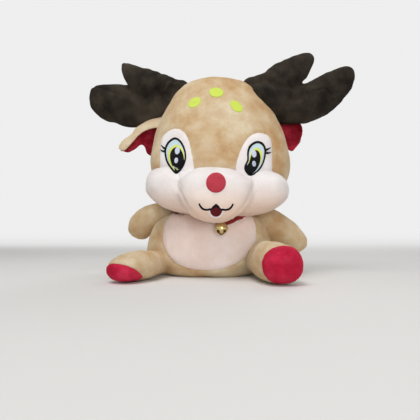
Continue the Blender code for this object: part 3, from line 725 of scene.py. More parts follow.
# The eyes, with each oval as its middle, half width, half height and tilt
eyeShapes = {
    "left": {
        "rim": [(174.5, 137.2), (168.3, 141.3), (165, 147.5), (164.6, 154.2), (166.3, 161.6), (170.4, 168.9),
                (176.3, 174.1), (182.2, 168.8), (185.7, 161.5), (186.2, 153.6), (184, 145.6), (180, 139.6)],
        "white": [(174.7, 139.7), (169.7, 142.9), (166.8, 148.2), (166.3, 154), (167.9, 160.8), (171.7, 167.2),
                  (176.3, 171.6), (181, 167.2), (184.1, 160.9), (184.4, 153.9), (182.3, 146.8), (179, 141.8)],
        "iris": [(175.9, 144.4), (171, 147.2), (168.3, 152.2), (168.2, 158.4), (170.3, 164.9), (174, 170.4),
                 (177.4, 171), (181.3, 167), (184.1, 160.9), (184.3, 153.9), (182.4, 148.6), (179.5, 145.3)],
        "pupil": [(176.2, 147), (172.3, 149.4), (170.2, 154), (170.4, 160), (172.6, 166.5), (176.3, 172.6),
                  (181, 168), (184.1, 161.2), (183.6, 155), (181.4, 150), (179, 147.6)],
        "glints": {"upper": ((177.6, 151), 2.5, 3.7, 8), "lower": ((176.5, 160.6), 1.9, 2.9, 8)},
        "lashes": [[(165.8, 148.8), (163.8, 147.9), (161.2, 145.2)], [(165.4, 151.2), (163, 151.2), (160.4, 149.8)]],
    },
    "right": {
        "rim": [(257.5, 140.8), (252, 143), (248.3, 147), (247, 153), (247, 160), (244.6, 165), (244.2, 169.5),
                (247, 174), (250, 175.9), (254, 174.8), (260, 169.8), (264, 162.5), (266, 154), (265.8, 148),
                (263, 142.8)],
        "white": [(257.8, 143.3), (253.4, 145), (250.2, 148.6), (248.9, 154), (248.7, 160.6), (246.8, 165.4),
                  (246.4, 169), (248.4, 172.8), (250.6, 174), (254, 172.8), (258.8, 168.4), (262.5, 161.8),
                  (264.1, 154), (263.9, 148.8), (261.6, 145)],
        "iris": [(256, 147.8), (252.4, 149.8), (250, 154), (248.9, 160), (247.4, 166), (249, 172), (253, 172),
                 (257.6, 168), (261, 161.6), (262.4, 155), (261.4, 150.6), (259, 148.2)],
        "pupil": [(255.6, 150), (252.2, 152.4), (250.4, 157), (248.8, 162.4), (245.8, 167.5), (246.6, 172.6),
                  (250.6, 174.6), (255, 171.4), (258.6, 166), (260.4, 159.6), (260, 154), (258.2, 151)],
        "glints": {"upper": ((253.8, 154.1), 2.5, 3.7, -8), "lower": ((253.8, 163.8), 1.9, 2.9, -8)},
        "lashes": [[(265.2, 150), (267.6, 149.3), (270.6, 147.6)], [(266.1, 152.8), (268.6, 153), (271, 152.2)]],
    },
}
spotShapes = {
    "left": ((194.6, 102.6), 7.2, 4.5, -30),
    "middle": ((216.3, 92.6), 7.3, 4.8, 4),
    "right": ((236.3, 106.4), 7.4, 4.5, 40),
}


def makeEye(hand):
    shape = eyeShapes[hand]
    patch = appliqued(headTree, patchShape[hand], 1.0, 96, sunk=1.6)
    patchTree = treeOf(patch, face)
    piece(patch, f"eyePatch.{hand}", "whitePile", "head", [f"eye_patch_{hand}"])

    def sewn(part, outline, material, slotName, lift, nodeName, **more):
        bm = appliqued(patchTree, outline, lift, 64, **more)
        piece(bm, f"{part}.{hand}", material, "head", [nodeName])

    sewn("eyeWhite", shape["white"], "skyThread", "sclera", 0.5, f"eye_white_{hand}")
    sewn("eyeIris", shape["iris"], "irisThread", "iris", 0.75, f"eye_iris_{hand}")
    sewn("eyePupil", shape["pupil"], "pupilThread", "black", 1.0, f"eye_pupil_{hand}")
    for name, (middle, wide, high, tilt) in shape["glints"].items():
        oval = pixelOval(middle, wide, high, tilt)
        sewn(f"eyeGlint.{name}", oval, "glintThread", "glint", 1.35, f"eye_glint_{name}_{hand}")
    sewn("eyeRim", shape["rim"], "blackThread", "black", 1.2, f"eye_outline_{hand}", inner=shape["white"])
    for index, route in enumerate(shape["lashes"]):
        lash = stitchLine(patchTree, route, (3.0, 2.2, 0.7), 1.2, 12, 3)
        piece(lash, f"eyeLash.{hand}.{index}", "blackThread", "head")


for hand in hands:
    makeEye(hand)
for name, (middle, wide, high, tilt) in spotShapes.items():
    bm = appliqued(headTree, pixelOval(middle, wide, high, tilt), 0.9, 48)
    piece(bm, f"foreheadSpot.{name}", "limeThread", "head", [f"forehead_spot_{name}"])
print("eyes and forehead spots")

mouthShape = {
    "nose": ((216, 182.8), 10, 10, 0),
    "left": [(199, 203.6), (200.6, 206.6), (203.4, 209.2), (207.4, 209.8), (211.8, 208.6), (216.7, 205)],
    "right": [(215.5, 205), (220.4, 208.8), (224.8, 209.9), (228.8, 209.2), (231.5, 207), (233.1, 203.8)],
    "widths": (1.6, 2.1, 2.3, 2.3, 2.7, 3.6),
    "tongue": [(210.3, 209.4), (213.4, 208), (216.1, 205.8), (218.8, 208), (222, 209.6), (221.4, 213), (219.2, 215.6),
               (216, 216.6), (212.8, 215.6), (210.7, 213)],
    "rim": [(208.6, 209.6), (213, 206.4), (216.1, 204.8), (219.2, 206.4), (223.7, 209.8), (223, 214), (220.3, 217.2),
            (216, 218.4), (211.7, 217.2), (209, 213.8)],
}


def makeMouth():
    nose = appliqued(faceTree, pixelOval(*mouthShape["nose"], 24), 1.6, 64, sunk=0.4,
                     rows=(1, 0.98, 0.92, 0.8, 0.62, 0.42, 0.2, 0.07))
    piece(nose, "nosePatch", "noseSatin", "head", ["nose"])
    tongue = appliqued(faceTree, mouthShape["tongue"], 0.9, 48)
    piece(tongue, "tongueStitch", "wineThread", "head", ["tongue"])
    rim = appliqued(faceTree, mouthShape["rim"], 0.7, 48, inner=mouthShape["tongue"])
    piece(rim, "tongueRim", "paleThread", "head")
    line = stitchLine(faceTree, mouthShape["left"], mouthShape["widths"], 1.4, 28)
    other = stitchLine(faceTree, mouthShape["right"], mouthShape["widths"][::-1], 1.4, 28)
    line.from_mesh(meshOf(other, "half"))
    piece(line, "mouthStitch", "blackThread", "head", ["mouth_line"])


def splitFace():
    # the lower face parts into cheek, muzzle and cheek down the two creases
    middle = face.copy()
    for hand, ((across, height), lean) in faceShape["split"].items():
        sign = hands[hand]
        point = headTurn @ (Vector((across, -80, height)) * mm) / mm
        outward = Vector((sign * cos(radians(lean)), 0, -abs(sin(radians(lean)))))
        side = face.copy()
        trimmed(side, point + outward * 0.1, -outward)
        piece(side, f"cheek.soft.{hand}", "whitePile", "head", [f"cheek_{hand}"])
        trimmed(middle, point - outward * 0.1, outward)
    piece(middle, "muzzle.soft", "whitePile", "head", ["muzzle"])


makeMouth()
splitFace()
piece(head, "headSkin", "tanPile", "head", ["head_skin"])
core = rounded(uprightForm(headShape), 2)
core.transform(headTurn)
filling(core, "headFilling", "head", "head_stuffing", 5.0)
print("muzzle, cheeks, nose and mouth")


# Body

bodyShape = {
    "sides": 14,
    "rings": [
        (-1, 46, -34, 34, 0), (-1, 84, -58, 59, 0), (14, 106, -71, 70, 0), (40, 112, -76, 76, 0),
        (66, 106, -73, 73, 0), (88, 94, -66, 63, 1), (101, 82, -58, 50, 2), (109, 54, -43, 31, 6),
        (114, 30, -33, 23, 9), (130, 20, -25, 15, 10.5), (136, 9, -14, 4, 10.5),
    ],
    "lumps": [(42, 2.2, 1.7), (15, 0.8, 4.9)], "panelSeam": (1.8, 2.4, 0.4, 7), "seam": (1.0, 1.6, 0.4, 8),
}
bellyShape = {
    "outline": [(164.4, 225), (162.5, 238), (165.2, 250), (170, 258), (179, 265), (194, 269.6), (211, 270.4),
                (226, 268), (238, 262.5), (248.8, 254), (254.6, 244), (256.6, 234), (255.4, 224),
                (251.5, 214.5), (244, 207), (211, 200), (178, 208), (170.5, 215)],
    "height": 1.4, "sunk": 1.8, "rows": (1, 0.985, 0.95, 0.86, 0.74, 0.6, 0.45, 0.3, 0.15, 0.05),
}


def onFloor(bm, height):
    # nothing goes below this height
    for vert in bm.verts:
        vert.co.z = max(vert.co.z, height * mm)
    bm.normal_update()


def makeBody():
    bm = rounded(uprightForm(bodyShape), 4)
    lumps(bm, *bodyShape["lumps"])
    tree = treeOf(bm)
    seamGroove(bm, ofPixels(tree, bellyShape["outline"], 260), *bodyShape["panelSeam"])
    # a seam up each side, and one up the back
    seams = [[], [], []]
    for height, wide, front, back, offset in bodyShape["rings"][2:8]:
        seams[0].append((offset - wide, (front + back) / 2, height))
        seams[1].append((offset + wide, (front + back) / 2, height))
        seams[2].append((offset, back, height))
    for seam in seams:
        seamGroove(bm, smoothLine(seam, 90, closed=False), *bodyShape["seam"])
    onFloor(bm, 0.3)
    return bm


body = makeBody()
panel = appliqued(treeOf(body), bellyShape["outline"], bellyShape["height"], 120, sunk=bellyShape["sunk"],
                  rows=bellyShape["rows"])

# The ribbon lies round the neck on the body, and dips in front where the bell pulls it down. The bell's place and
# the width of the dip on its left and right are angles round the neck, in radians.
collarShape = {"wide": 10, "thick": 0.4, "level": 107, "back": 3, "dip": 17, "dipWide": (0.2, 0.6),
               "bell": -1.46, "steps": 140, "reach": 130, "lift": 0.7, "wave": 0.2, "rows": 5}


def onCloth(tree, spot, lift):
    place, normal, *_ = tree.find_nearest(spot * mm)
    return (place + normal * lift * mm) / mm


def makeCollar():
    shape = collarShape
    steps = shape["steps"]
    tree = treeOf(body, panel)
    path = []
    for step in range(steps):
        angle = 2 * pi * step / steps - pi
        height = shape["level"] + shape["back"] * sin(angle)
        wide = shape["dipWide"][1 if angle > shape["bell"] else 0]
        height -= shape["dip"] * exp(-((angle - shape["bell"]) / wide) ** 2)
        outward = Vector((cos(angle), sin(angle), 0))
        start = Vector((neckPoint.x, neckPoint.y, height)) + outward * shape["reach"]
        spot, normal, *_ = tree.ray_cast(start * mm, -outward)
        path.append(spot / mm)
    rings = [[] for row in range(shape["rows"])]
    for step, spot in enumerate(path):
        onward = path[(step + 1) % steps] - path[step - 1]
        place, normal, *_ = tree.find_nearest(spot * mm)
        across = normal.cross(onward).normalized()
        for row, ring in enumerate(rings):
            edge = (row / (shape["rows"] - 1) - 0.5) * shape["wide"]
            lift = shape["lift"] + shape["wave"] * sin(step * 0.9 + row)
            ring.append(onCloth(tree, spot + across * edge, lift))
    ribbon = applied(lofted(rings, ends=()), "SOLIDIFY", thickness=shape["thick"] * mm, offset=0)
    made = piece(ribbon, "collarRibbon", "ribbonSatin", "torso", ["collar_ribbon"])


makeCollar()
piece(panel, "bellyPanel", "blushPile", "torso", ["belly_panel"])
piece(body, "bodySkin", "tanPile", "torso", ["body_skin"])
core = rounded(uprightForm(bodyShape), 2)
onFloor(core, 7)
filling(core, "bodyFilling", "torso", "body_stuffing", 5.0)
print("body, belly panel and collar")


# Arms and legs

# Each ring is its middle, its half size along the limb's side direction, and its half size across that
armShape = {
    "left": [((-58, 6, 104), 14, 15), ((-76, 14, 106), 19, 20), ((-97, 22, 104), 23, 24),
             ((-117, 31, 95), 25, 26), ((-131, 39, 81), 24, 24), ((-137, 44, 70), 18, 18),
             ((-139.5, 46, 65.5), 9, 9)],
    "right": [((62, 8, 102), 14, 15), ((80, 8, 101), 19, 20), ((98, 8, 94), 22, 25.5), ((122, 5, 79.5), 24, 27),
              ((146, 1, 61.5), 23, 23.5), ((158, -1, 48), 18.5, 18.5), ((162.5, -2, 39), 10, 10)],
    "lumps": {"left": [(24, 1.8, 6.1), (9, 0.6, 3.3)], "right": [(24, 1.8, 9.2), (9, 0.6, 3.3)]},
    "seam": (1.0, 1.8, 0.6, 7), "bend": (-6, 26), "filled": 30,
}
armJoint = {"left": (-76, 14, 95), "right": (78, 8, 92)}
legShape = {
    "left": [((-52, -6, 23), 17, 16), ((-71, -22, 23.5), 19, 18), ((-87, -46, 23), 18.5, 18),
             ((-98, -76, 22.8), 26, 22.4), ((-112, -102, 22.3), 28.5, 22.3), ((-123, -119, 20), 26, 19.7),
             ((-130.5, -130, 17.5), 18, 15), ((-133, -134, 16.5), 9, 8)],
    "right": [((56, -8, 29), 17, 18), ((71, -34, 29), 18, 21), ((80, -58, 29.5), 20, 25),
              ((87, -88, 30), 27, 29.5), ((93, -118, 29.8), 30.5, 29.3), ((99, -140, 28), 31, 27.5),
              ((103, -154, 26.5), 24, 23), ((104.5, -160, 26), 11, 11)],
    "lumps": {"left": [(26, 1.8, 5.3), (9, 0.5, 7.7)], "right": [(26, 1.8, 2.8), (9, 0.5, 7.7)]},
    "spread": 0.12, "spreadBelow": 28, "bend": (-4, 34), "filled": 34,
}
legJoint = {"left": (-60, -34, 31), "right": (63, -36, 31)}
hoofShape = {
    "left": {"seam": (-124, -124, 22), "tilt": 56},
    "right": {"seam": (98, -138, 28), "tilt": 0},
    "depth": 1.7, "wide": 2.0, "gathers": 0.5, "gathersWide": 4, "reach": 12,
}


def makeArm(hand):
    shape = armShape
    rings = shape[hand]
    bm = rounded(limbForm(rings, (0, 1, 0), 12), 3)
    lumps(bm, *shape["lumps"][hand])
    # a seam along the under side of the arm
    under = [Vector(middle) + Vector((0, -wide * 0.2, -high)) for middle, wide, high in rings[1:]]
    seamGroove(bm, smoothLine(under, 80, closed=False), *shape["seam"])
    along = (Vector(rings[3][0]) - Vector(rings[1][0])).normalized()
    joint = Vector(armJoint[hand])
    blend = bendBetween("torso", f"arm_{hand}", joint, along, *shape["bend"])
    piece(bm, f"armSkin.{hand}", "tanPile", None, [f"arm_skin_{hand}"], blend=blend)
    core = rounded(limbForm(rings[1:], (0, 1, 0), 10), 1)
    filling(core, f"armFilling.{hand}", f"arm_{hand}", f"arm_stuffing_{hand}", 6.0,
            keep=(joint + along * shape["filled"], -along))


def makeLeg(hand):
    shape = legShape
    rings = shape[hand]
    seam = Vector(hoofShape[hand]["seam"])
    along = seam - Vector(rings[2][0])
    along.z = 0
    along.normalize()
    axis = along.cross(Vector((0, 0, 1)))
    bm = rounded(limbForm(rings, axis, 14), 3)
    for vert in bm.verts:
        # the underside spreads where it rests
        spot = vert.co / mm
        low = max(0, 1 - spot.z / shape["spreadBelow"])
        vert.co += axis * (spot - seam).dot(axis) * shape["spread"] * low * mm
    bm.normal_update()
    lumps(bm, *shape["lumps"][hand])
    tilt = radians(hoofShape[hand]["tilt"])
    facing = along * cos(tilt) - Vector((0, 0, sin(tilt)))
    bmesh.ops.bisect_plane(bm, geom=bm.verts[:] + bm.edges[:] + bm.faces[:], plane_co=seam * mm, plane_no=facing)
    for vert in bm.verts:
        # the cloth is drawn in at the hoof's seam, with small gathers beside it
        away = (vert.co / mm - seam).dot(facing)
        if abs(away) < hoofShape["reach"]:
            around = noise.noise(vert.co / mm / 5) * hoofShape["gathers"]
            drawn = hoofShape["depth"] * exp(-(away / hoofShape["wide"]) ** 2)
            vert.co -= vert.normal * (drawn + around * exp(-abs(away) / hoofShape["gathersWide"])) * mm
    onFloor(bm, 0.5)
    hoof = bm.copy()
    trimmed(bm, seam - facing * 0.15, facing)
    trimmed(hoof, seam + facing * 0.15, -facing)
    joint = Vector(legJoint[hand])
    blend = bendBetween("torso", f"leg_{hand}", joint, along, *shape["bend"])
    piece(bm, f"legSkin.{hand}", "tanPile", None, [f"leg_skin_{hand}"], blend=blend)
    piece(hoof, f"hoof.soft.{hand}", "redPile", f"leg_{hand}", [f"hoof_{hand}"])
    core = rounded(limbForm(rings[1:], axis, 10), 1)
    filling(core, f"legFilling.{hand}", f"leg_{hand}", f"leg_stuffing_{hand}", 6.0,
            keep=(joint + along * shape["filled"], -along))


for hand in hands:
    makeArm(hand)
    makeLeg(hand)
print("arms, legs and hooves")

tailShape = {
    "rings": [((0, 60, 42), 8, 8), ((0, 72, 46), 11, 11), ((0, 84, 50), 15, 13), ((0, 96, 57), 14.5, 11.5),
              ((0, 103, 64), 9, 8), ((0, 105, 67), 4, 4)],
    "lumps": [(12, 1.0, 1.2)],
    # where a bend from the body to the tail would start and end, in metres; nothing here bends it
    "bend": ((0, 0.070, 0.045), (0, 0.084, 0.050)),
}
tail = rounded(limbForm(tailShape["rings"], (1, 0, 0), 10), 3)
lumps(tail, *tailShape["lumps"])
piece(tail, "tail.soft", "tanPile", None, ["tail"], blend=("torso", "tail", *tailShape["bend"]))


# Antlers

# Each ring is its middle, its half height and its half depth. Dimples and folds are placed by pixels.
antlerShape = {
    "left": {
        "outer": [((-44, -2, 302), 20, 20), ((-64, -2, 301), 25, 24), ((-88, -1, 297), 31, 23),
                  ((-120, 1, 291.5), 37, 24), ((-156, -1, 298), 36, 22), ((-186, -3, 304), 31, 19),
                  ((-203, -4, 308), 22, 14), ((-209, -4, 309), 10, 8)],
        "upper": [((-32, -2, 318), 17, 16), ((-54, -5, 320), 19, 18), ((-76, -11, 323), 20, 18),
                  ((-96, -17, 325), 24, 19), ((-114, -21, 329), 25, 18), ((-130, -23, 338), 19, 15),
                  ((-141, -23, 350), 10.5, 10), ((-149, -22, 361), 4, 4)],
    },
    "right": {
        "outer": [((62, -10, 302), 26, 31), ((86, -10, 300), 28, 36), ((112, -4, 297), 30, 28),
                  ((146, 0, 295), 34, 25), ((184, 0, 302), 33.5, 25), ((216, 0, 324), 30, 22),
                  ((238, 0, 347), 21, 17), ((247, 0, 361), 11, 10)],
        "upper": [((56, -8, 320), 17, 20), ((78, -8, 321), 20, 20), ((100, -9, 326), 23, 19),
                  ((124, -10, 338), 27, 20), ((148, -10, 354), 24, 18), ((170, -9, 370), 16, 13),
                  ((180, -9, 379), 8, 7)],
    },
    "dimples": {
        "left": [((127.5, 107), 4, 3.5), ((118, 94), 3, 2), ((147, 118), 4, 2)],
        "right": [((292, 100), 6, 3.5), ((309, 105), 5, 3), ((304, 82), 4, 3), ((320, 84), 3, 2), ((331, 93), 4, 2)],
    },
    "folds": {
        "left": [[(125, 80), (128, 89), (132, 95.5), (140, 98), (149, 96), (157, 91), (163, 85)],
                 [(94, 86.5), (103, 88), (113, 92.5), (124, 95.5)], [(168, 79), (164, 87), (163, 96), (166, 104)],
                 [(156, 88), (152, 96), (152, 104), (156, 111)], [(176, 79), (171, 88), (169, 97)]],
        "right": [[(308.5, 80), (306, 86), (302.5, 92), (300, 98)], [(261, 82), (260, 92), (263, 102), (270, 110)],
                  [(332, 95), (325, 88), (318, 90)], [(270, 82), (272, 94), (279, 106)]],
    },
    "voxel": 2.3, "passes": 2, "foldSeam": (2.4, 2.6), "bend": (2, 26), "filled": 24,
    "lumps": {"left": [(28, 3.0, 4.4), (11, 0.9, 6.6)], "right": [(28, 3.0, 8.8), (11, 0.9, 6.6)]},
    "gathers": {"depth": 1.7, "reach": 70, "pitch": 0.42, "slant": 0.12},
}
antlerRoot = {"left": (-64, 0, 308), "right": (93, 0, 308)}


def prongForm(prong, sides, levels):
    rings = [(middle, deep, high) for middle, high, deep in prong]
    return rounded(limbForm(rings, (0, 1, 0), sides), levels)


def makeAntler(hand):
    shape = antlerShape
    prongs = shape[hand]
    bm = fused([prongForm(prongs[name], 12, 2) for name in ("outer", "upper")], shape["voxel"], shape["passes"])
    root = Vector(antlerRoot[hand])
    lumps(bm, *shape["lumps"][hand])
    gathers = shape["gathers"]
    for vert in bm.verts:
        # gathers that run out from the root, and the seam round the edge
        spot = vert.co / mm - root
        distance = spot.length
        edge = 1 - min(1.0, abs(vert.normal.y) * 4)
        push = -edge ** 3
        if distance < gathers["reach"]:
            fold = sin(distance * gathers["pitch"] + spot.z * gathers["slant"] + noise.noise(spot / 18) * 3)
            push += fold * gathers["depth"] * (1 - distance / gathers["reach"])
        vert.co += vert.normal * push * mm
    bm.normal_update()
    tree = treeOf(bm)
    for (px, py), radius, depth in shape["dimples"][hand]:
        pit = onSurface(tree, px, py)
        for vert in bm.verts:
            reach = (vert.co / mm - pit).length / (radius * 2)
            if reach < 3:
                vert.co -= vert.normal * depth * exp(-reach ** 2) * mm
    bm.normal_update()
    for route in shape["folds"][hand]:
        seamGroove(bm, ofPixels(tree, route, 40, closed=False), *shape["foldSeam"])
    outward = Vector((hands[hand], 0, 0))
    blend = bendBetween("head", f"antler_{hand}", root, outward, *shape["bend"])
    piece(bm, f"antlerSkin.{hand}", "brownVelvet", None, [f"antler_skin_{hand}"], blend=blend)
    core = prongForm(prongs["outer"][1:], 10, 1)
    filling(core, f"antlerFilling.{hand}", f"antler_{hand}", f"antler_stuffing_{hand}", 10.0,
            keep=(root + outward * shape["filled"], -outward))


for hand in hands:
    makeAntler(hand)
print("antlers")


# Ears: three lines from the root to the tip, each a row of pixels with a depth. The first is the edge nearest
# the camera, the second runs along the fold, and the third is the far edge. An inset draws a sheet in at its
# near edge, its far edge and its tip. A fold is a line on the sheet, with its depth and its width.
earShape = {
    "left": {
        "lines": {
            "near": [(166, 128, -12), (159, 128, -15), (150.3, 129.3, -18), (142.6, 132.8, -20), (136.5, 138.5, -20),
                     (132, 143.6, -20), (125, 150.6, -18), (121, 150, -15)],
            "fold": [(169, 114, 0), (162, 117, -1), (154, 121, -3), (145.5, 126, -5), (138.6, 129.6, -7),
                     (133, 136.4, -9), (123.5, 142.2, -11), (120.2, 149, -14)],
            "far": [(158, 156, 10), (152, 156.5, 10), (147, 153.5, 9), (144.4, 147, 6), (140.5, 145, 2),
                    (135, 149.4, -3), (128, 152.8, -10), (121.4, 150.8, -15)],
        },
        "root": (-90, -4, 239), "backInset": (0, 0.1, 0), "liningInset": (0.05, 0, 0.02),
        "folds": [((0.2, -0.3), (0.8, -0.5), 2.0, 0.2)],
    },
    "right": {
        "lines": {
            "near": [(274, 121, 2), (281, 119.5, 2), (288, 119, 3), (295, 120, 3), (300, 122.5, 1), (302.6, 128, -4)],
            "fold": [(276, 131, 6), (282, 133, 9), (288, 134, 10), (294, 134, 8), (299.5, 133, 3), (302.8, 131, -4)],
            "far": [(280, 144, -8), (284.5, 146, -10), (288.5, 150.5, -12), (293, 151.5, -14), (298.6, 145, -14),
                    (302, 137, -12)],
        },
        "root": (121, -4, 245), "backInset": (0.14, 0.14, 0.16), "liningInset": (0, 0, 0),
        "folds": [((0.36, -1), (0.8, 0), 3.4, 0.17), ((0.5, -0.2), (0.5, 0.7), 1.6, 0.12)],
    },
    "thick": 2.6, "lining": 1.6, "along": 44, "across": 30, "bend": (1, 14), "arch": 0.15,
}


def earFacing(hand):
    # which way the sheet's own normal points: 1 where it points into the cup
    lines = earShape[hand]["lines"]
    middle = len(lines["fold"]) // 2
    near, fold, far = (atDepth(*lines[name][middle]) for name in ("near", "fold", "far"))
    onward = atDepth(*lines["fold"][middle + 1]) - fold
    cup = (near + far) / 2 - fold
    return 1 if onward.cross(far - near).dot(cup) > 0 else -1


def farFrom(spot, start, end):
    # how far a place on the sheet is from the line of a fold
    line = Vector(end) - Vector(start)
    share = (Vector(spot) - Vector(start)).dot(line) / line.length_squared
    return (Vector(spot) - Vector(start) - line * min(1, max(0, share))).length


def earSheet(hand, insets, lift, thick):
    # a smooth sheet through the three lines, drawn in at its edges, then given its thickness
    lines = earShape[hand]["lines"]
    steps = earShape["along"]
    rails = {}
    for name, points in lines.items():
        rails[name] = smoothLine([atDepth(*point) for point in points], steps * 4 + 1, closed=False)
    depths = []
    bm = bmesh.new()
    bmesh.ops.create_grid(bm, x_segments=steps, y_segments=earShape["across"], size=1)
    for vert in bm.verts:
        along = (vert.co.x + 1) / 2 * (1 - insets[2])
        side = vert.co.y * (1 - insets[0 if vert.co.y < 0 else 1])
        depths.append(sum(depth * exp(-(farFrom((along, side), start, end) / width) ** 2)
                          for start, end, depth, width in earShape[hand]["folds"]))
        near, fold, far = (rails[name][round(along * steps * 4)] for name in ("near", "fold", "far"))
        # a quadratic curve through the three lines, squared off a little so that the cloth arches
        side = side * (1 - earShape["arch"] * (1 - side ** 2))
        vert.co = (near * side * (side - 1) / 2 + fold * (1 - side ** 2) + far * side * (side + 1) / 2) * mm
    bm.normal_update()
    inward = earFacing(hand)
    for vert, depth in zip(bm.verts, depths):
        ripple = noise.noise(vert.co / mm / 9)
        vert.co += vert.normal * (lift + ripple - inward * depth) * mm
    return applied(bm, "SOLIDIFY", thickness=thick * mm, offset=1 if lift > 0 else -1)


def makeEar(hand):
    root = Vector(earShape[hand]["root"])
    tip = atDepth(*earShape[hand]["lines"]["fold"][-1])
    along = (tip - root).normalized()
    blend = bendBetween("head", f"ear_{hand}", root, along, *earShape["bend"])
    layers = [("earBack", "tanPile", "tan", "ear_back", "backInset", -0.01, "thick"),
              ("earLining", "earRedPile", "red", "ear_lining", "liningInset", 0.4, "lining")]
    for name, material, slot, node, inset, lift, thick in layers:
        bm = earSheet(hand, earShape[hand][inset], earFacing(hand) * lift, earShape[thick])
        piece(bm, f"{name}.{hand}", material, None, [f"{node}_{hand}"], blend=blend, smooth=1)


for hand in hands:
    makeEar(hand)
print("ears")


# Bell

bellShape = {
    "joint": (18, -76.5, 90.5), "lean": -17, "radius": 10, "wall": 0.7, "rim": 0.9, "drop": 13.0,
    "shank": 2.1, "wire": 0.55, "tie": 3.2, "thread": 0.55, "clapper": 3.0,
    # half length and half width of the slots, the radius of the holes at their ends, and their turn
    "slot": (7.4, 1.3, 2.4), "slotTurn": 45,
}
bellTurn = Matrix.Translation(Vector(bellShape["joint"]) * mm) @ Matrix.Rotation(radians(bellShape["lean"]), 4, "X")


def spun(profile, steps, turn):
    # round piece from a profile of (radius, height), spun about Z
    bm = bmesh.new()
    verts = [bm.verts.new(Vector((radius, 0, height)) * mm) for radius, height in profile]
    edges = [bm.edges.new(pair) for pair in zip(verts, verts[1:])]
    bmesh.ops.spin(bm, geom=verts + edges, cent=(0, 0, 0), axis=(0, 0, 1), angle=2 * pi, steps=steps, use_merge=True)
    bmesh.ops.remove_doubles(bm, verts=bm.verts, dist=0.01 * mm)
    bmesh.ops.recalc_face_normals(bm, faces=bm.faces)
    bm.transform(turn)
    return bm


def arc(radius, start, end, steps, centre=0.0):
    angles = [radians(start + (end - start) * step / steps) for step in range(steps + 1)]
    return [(radius * sin(angle), centre + radius * cos(angle)) for angle in angles]


def bellHalf(upper):
    shape = bellShape
    middle = -shape["drop"]
    radius = shape["radius"]
    flange = radius + shape["rim"]
    way = 1 if upper else -1
    start, end = (5, 86) if upper else (178, 94)
    profile = arc(radius, start, end, 18, middle)
    profile += [(flange - 0.25, middle + way * 0.85), (flange, middle + way * 0.6), (flange, middle + way * 0.2)]
    profile += [(radius - 0.6, middle + way * 0.2)]
    bm = spun(profile, 72, Matrix.Identity(4))
    if not upper:
        long, half, hole = shape["slot"]
        gone = []
        for part in bm.faces:
            spot = part.calc_center_median() / mm
            if spot.z > middle - radius * 0.45:
                continue
            spot.rotate(Matrix.Rotation(radians(shape["slotTurn"]), 3, "Z"))
            inCross = (abs(spot.x) < long and abs(spot.y) < half) or (abs(spot.y) < long and abs(spot.x) < half)
            ends = [(long, 0), (-long, 0), (0, long), (0, -long)]
            inHole = any(sqrt((spot.x - x) ** 2 + (spot.y - y) ** 2) < hole for x, y in ends)
            if inCross or inHole:
                gone.append(part)
        bmesh.ops.delete(bm, geom=gone, context="FACES")
    bm.transform(bellTurn)
    bm.normal_update()
    return applied(bm, "SOLIDIFY", thickness=shape["wall"] * mm * 0.7, offset=-1)


def wireRing(radius, wire, steps):
    profile = [(radius + wire * cos(2 * pi * step / 12), wire * sin(2 * pi * step / 12)) for step in range(13)]
    return spun(profile, steps, bellTurn @ Matrix.Rotation(radians(90), 4, "Y"))


def makeBell():
    shape = bellShape
    piece(bellHalf(True), "bellTop", "bellBrass", "bell", ["bell_upper_half"])
    piece(bellHalf(False), "bellBottom", "bellBrass", "bell", ["bell_lower_half"])
    piece(wireRing(shape["shank"], shape["wire"], 40), "bellShank", "bellBrass", "bell", ["bell_shank"])
    low = -shape["drop"] - shape["radius"] + shape["wall"] + shape["clapper"] + 1
    ball = bmesh.new()
    bmesh.ops.create_icosphere(ball, subdivisions=3, radius=shape["clapper"] * mm)
    ball.transform(bellTurn @ Matrix.Translation((0, 0, low * mm)))
    piece(ball, "bellBall", "bellBrass", "clapper", ["bell_clapper"])
    joint = Vector(shape["joint"])
    behind = Vector(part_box("bell_tie")[1]).y / mm
    rings = []
    for step in range(25):
        angle = pi * step / 24
        spot = (joint.x - shape["tie"] * cos(angle), behind - (behind - joint.y) * sin(angle) ** 0.6, joint.z)
        rings.append((spot, shape["thread"], shape["thread"]))
    piece(limbForm(rings, (0, 0, 1), 10), "bellTie", "ribbonSatin", "torso", ["bell_tie"])


makeBell()
neckRing = {"outer": 33.2, "inner": 31.3, "from": 27, "to": 62}
outerArc = arc(neckRing["outer"], neckRing["from"], neckRing["to"], 10)
innerArc = arc(neckRing["inner"], neckRing["to"], neckRing["from"], 10)
seamRing = spun(outerArc + innerArc + outerArc[:1], 64, Matrix.Translation(neckPoint * mm))
piece(seamRing, "neckSeam", "tanPile", "neck", ["neck_seam"])
print("bell and neck seam")


# Floor and light, with their places in metres, and the camera

stageShape = {"near": -5, "far": 4, "wide": 7, "high": 6, "bend": 2.5, "floor": (226, 225, 223), "sky": 0.86,
              "fade": (0.4, 2.2), "room": 0.27}
lampShapes = {
    "topLight": {"place": (-0.35, -0.7, 1.7), "aim": (0, 0, 0.2), "size": 1.0, "power": 17},
    "frontLight": {"place": (0.35, -1.8, 0.55), "aim": (0, 0, 0.15), "size": 1.0, "power": 12.5},
    "backLight": {"place": (0.9, 1.3, 1.4), "aim": (0, 0, 0.2), "size": 1.0, "power": 8},
}


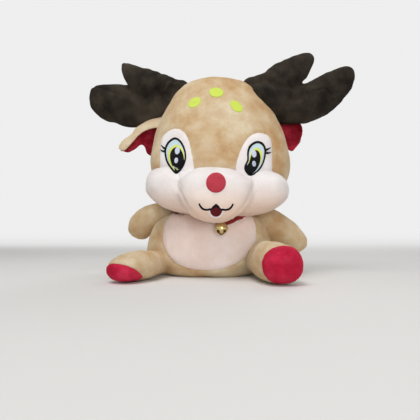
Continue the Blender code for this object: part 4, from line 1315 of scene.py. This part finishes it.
def makeStage():
    # a sheet of pale paper that curves up behind the deer and is evenly pale there
    bm = bmesh.new()
    bmesh.ops.create_grid(bm, x_segments=1, y_segments=1, size=1)
    for vert in bm.verts:
        vert.co = (vert.co.x * stageShape["wide"], stageShape["far"] if vert.co.y > 0 else stageShape["near"], 0)
    far = [edge for edge in bm.edges if all(vert.co.y > 0 for vert in edge.verts)]
    raised = bmesh.ops.extrude_edge_only(bm, edges=far)
    tops = [item for item in raised["geom"] if isinstance(item, bmesh.types.BMVert)]
    bmesh.ops.translate(bm, vec=(0, 0, stageShape["high"]), verts=tops)
    corner = [edge for edge in bm.edges if all(vert.co.y > 0 and vert.co.z < 1 for vert in edge.verts)]
    bmesh.ops.bevel(bm, geom=corner, offset=stageShape["bend"], offset_type="OFFSET", affect="EDGES", segments=16,
                    profile=0.5, material=-1)
    mesh = meshOf(bm, "paperSweep")
    bm.free()
    mesh.shade_smooth()
    mesh.materials.append(paper())
    added("paperSweep", mesh)


def paper():
    # lit paper near the deer, and an even pale tone where the sheet is far behind it
    shading = Shading("paper")
    shading.finish(colour(*stageShape["floor"]), 0.9)
    glow = shading.add("ShaderNodeEmission", Strength=stageShape["sky"])
    share = shading.add("ShaderNodeMath", operation="MULTIPLY")
    shading.join(shading.fade("Y", *stageShape["fade"]), share.inputs[0])
    shading.join(shading.seenPlainly(), share.inputs[1])
    shading.mixShaders(share.outputs[0], shading.shader, glow, "Material Output")
    return shading.material


def softLight(name):
    made = lampShapes[name]
    lamp = bpy.data.lights.new(name, "AREA")
    lamp.shape = "SQUARE"
    lamp.size = made["size"]
    lamp.energy = made["power"]
    light = added(name, lamp)
    light.location = made["place"]
    light.rotation_euler = (Vector(made["aim"]) - Vector(made["place"])).to_track_quat("-Z", "Y").to_euler()


makeStage()
for name in lampShapes:
    softLight(name)


def makeRoom():
    # soft light from all sides, and the paper's pale tone where the camera or a shiny surface sees past the sweep
    world = bpy.data.worlds.new("room")
    world.use_nodes = True
    room = Nodes(world.node_tree)
    light = room.tree.nodes["Background"]
    light.inputs["Color"].default_value = (1, 1, 1, 1)
    light.inputs["Strength"].default_value = stageShape["room"]
    pale = room.add("ShaderNodeBackground", Color=(1, 1, 1, 1), Strength=stageShape["sky"])
    room.mixShaders(room.seenPlainly(), light, pale, "World Output")
    scene.world = world


makeRoom()
lens = bpy.data.cameras.new("photoCamera")
lens.sensor_width = 36
lens.lens = photo["focal"] / photo["size"] * lens.sensor_width
lens.shift_x = (photo["size"] / 2 - photo["middle"]) / photo["size"]
lens.shift_y = (photo["horizon"] - photo["size"] / 2) / photo["size"]
camera = added("photoCamera", lens)
camera.location = Vector(photo["eye"]) * mm
camera.rotation_euler = (radians(90), 0, 0)
scene.camera = camera
scene.view_settings.view_transform = "Standard"
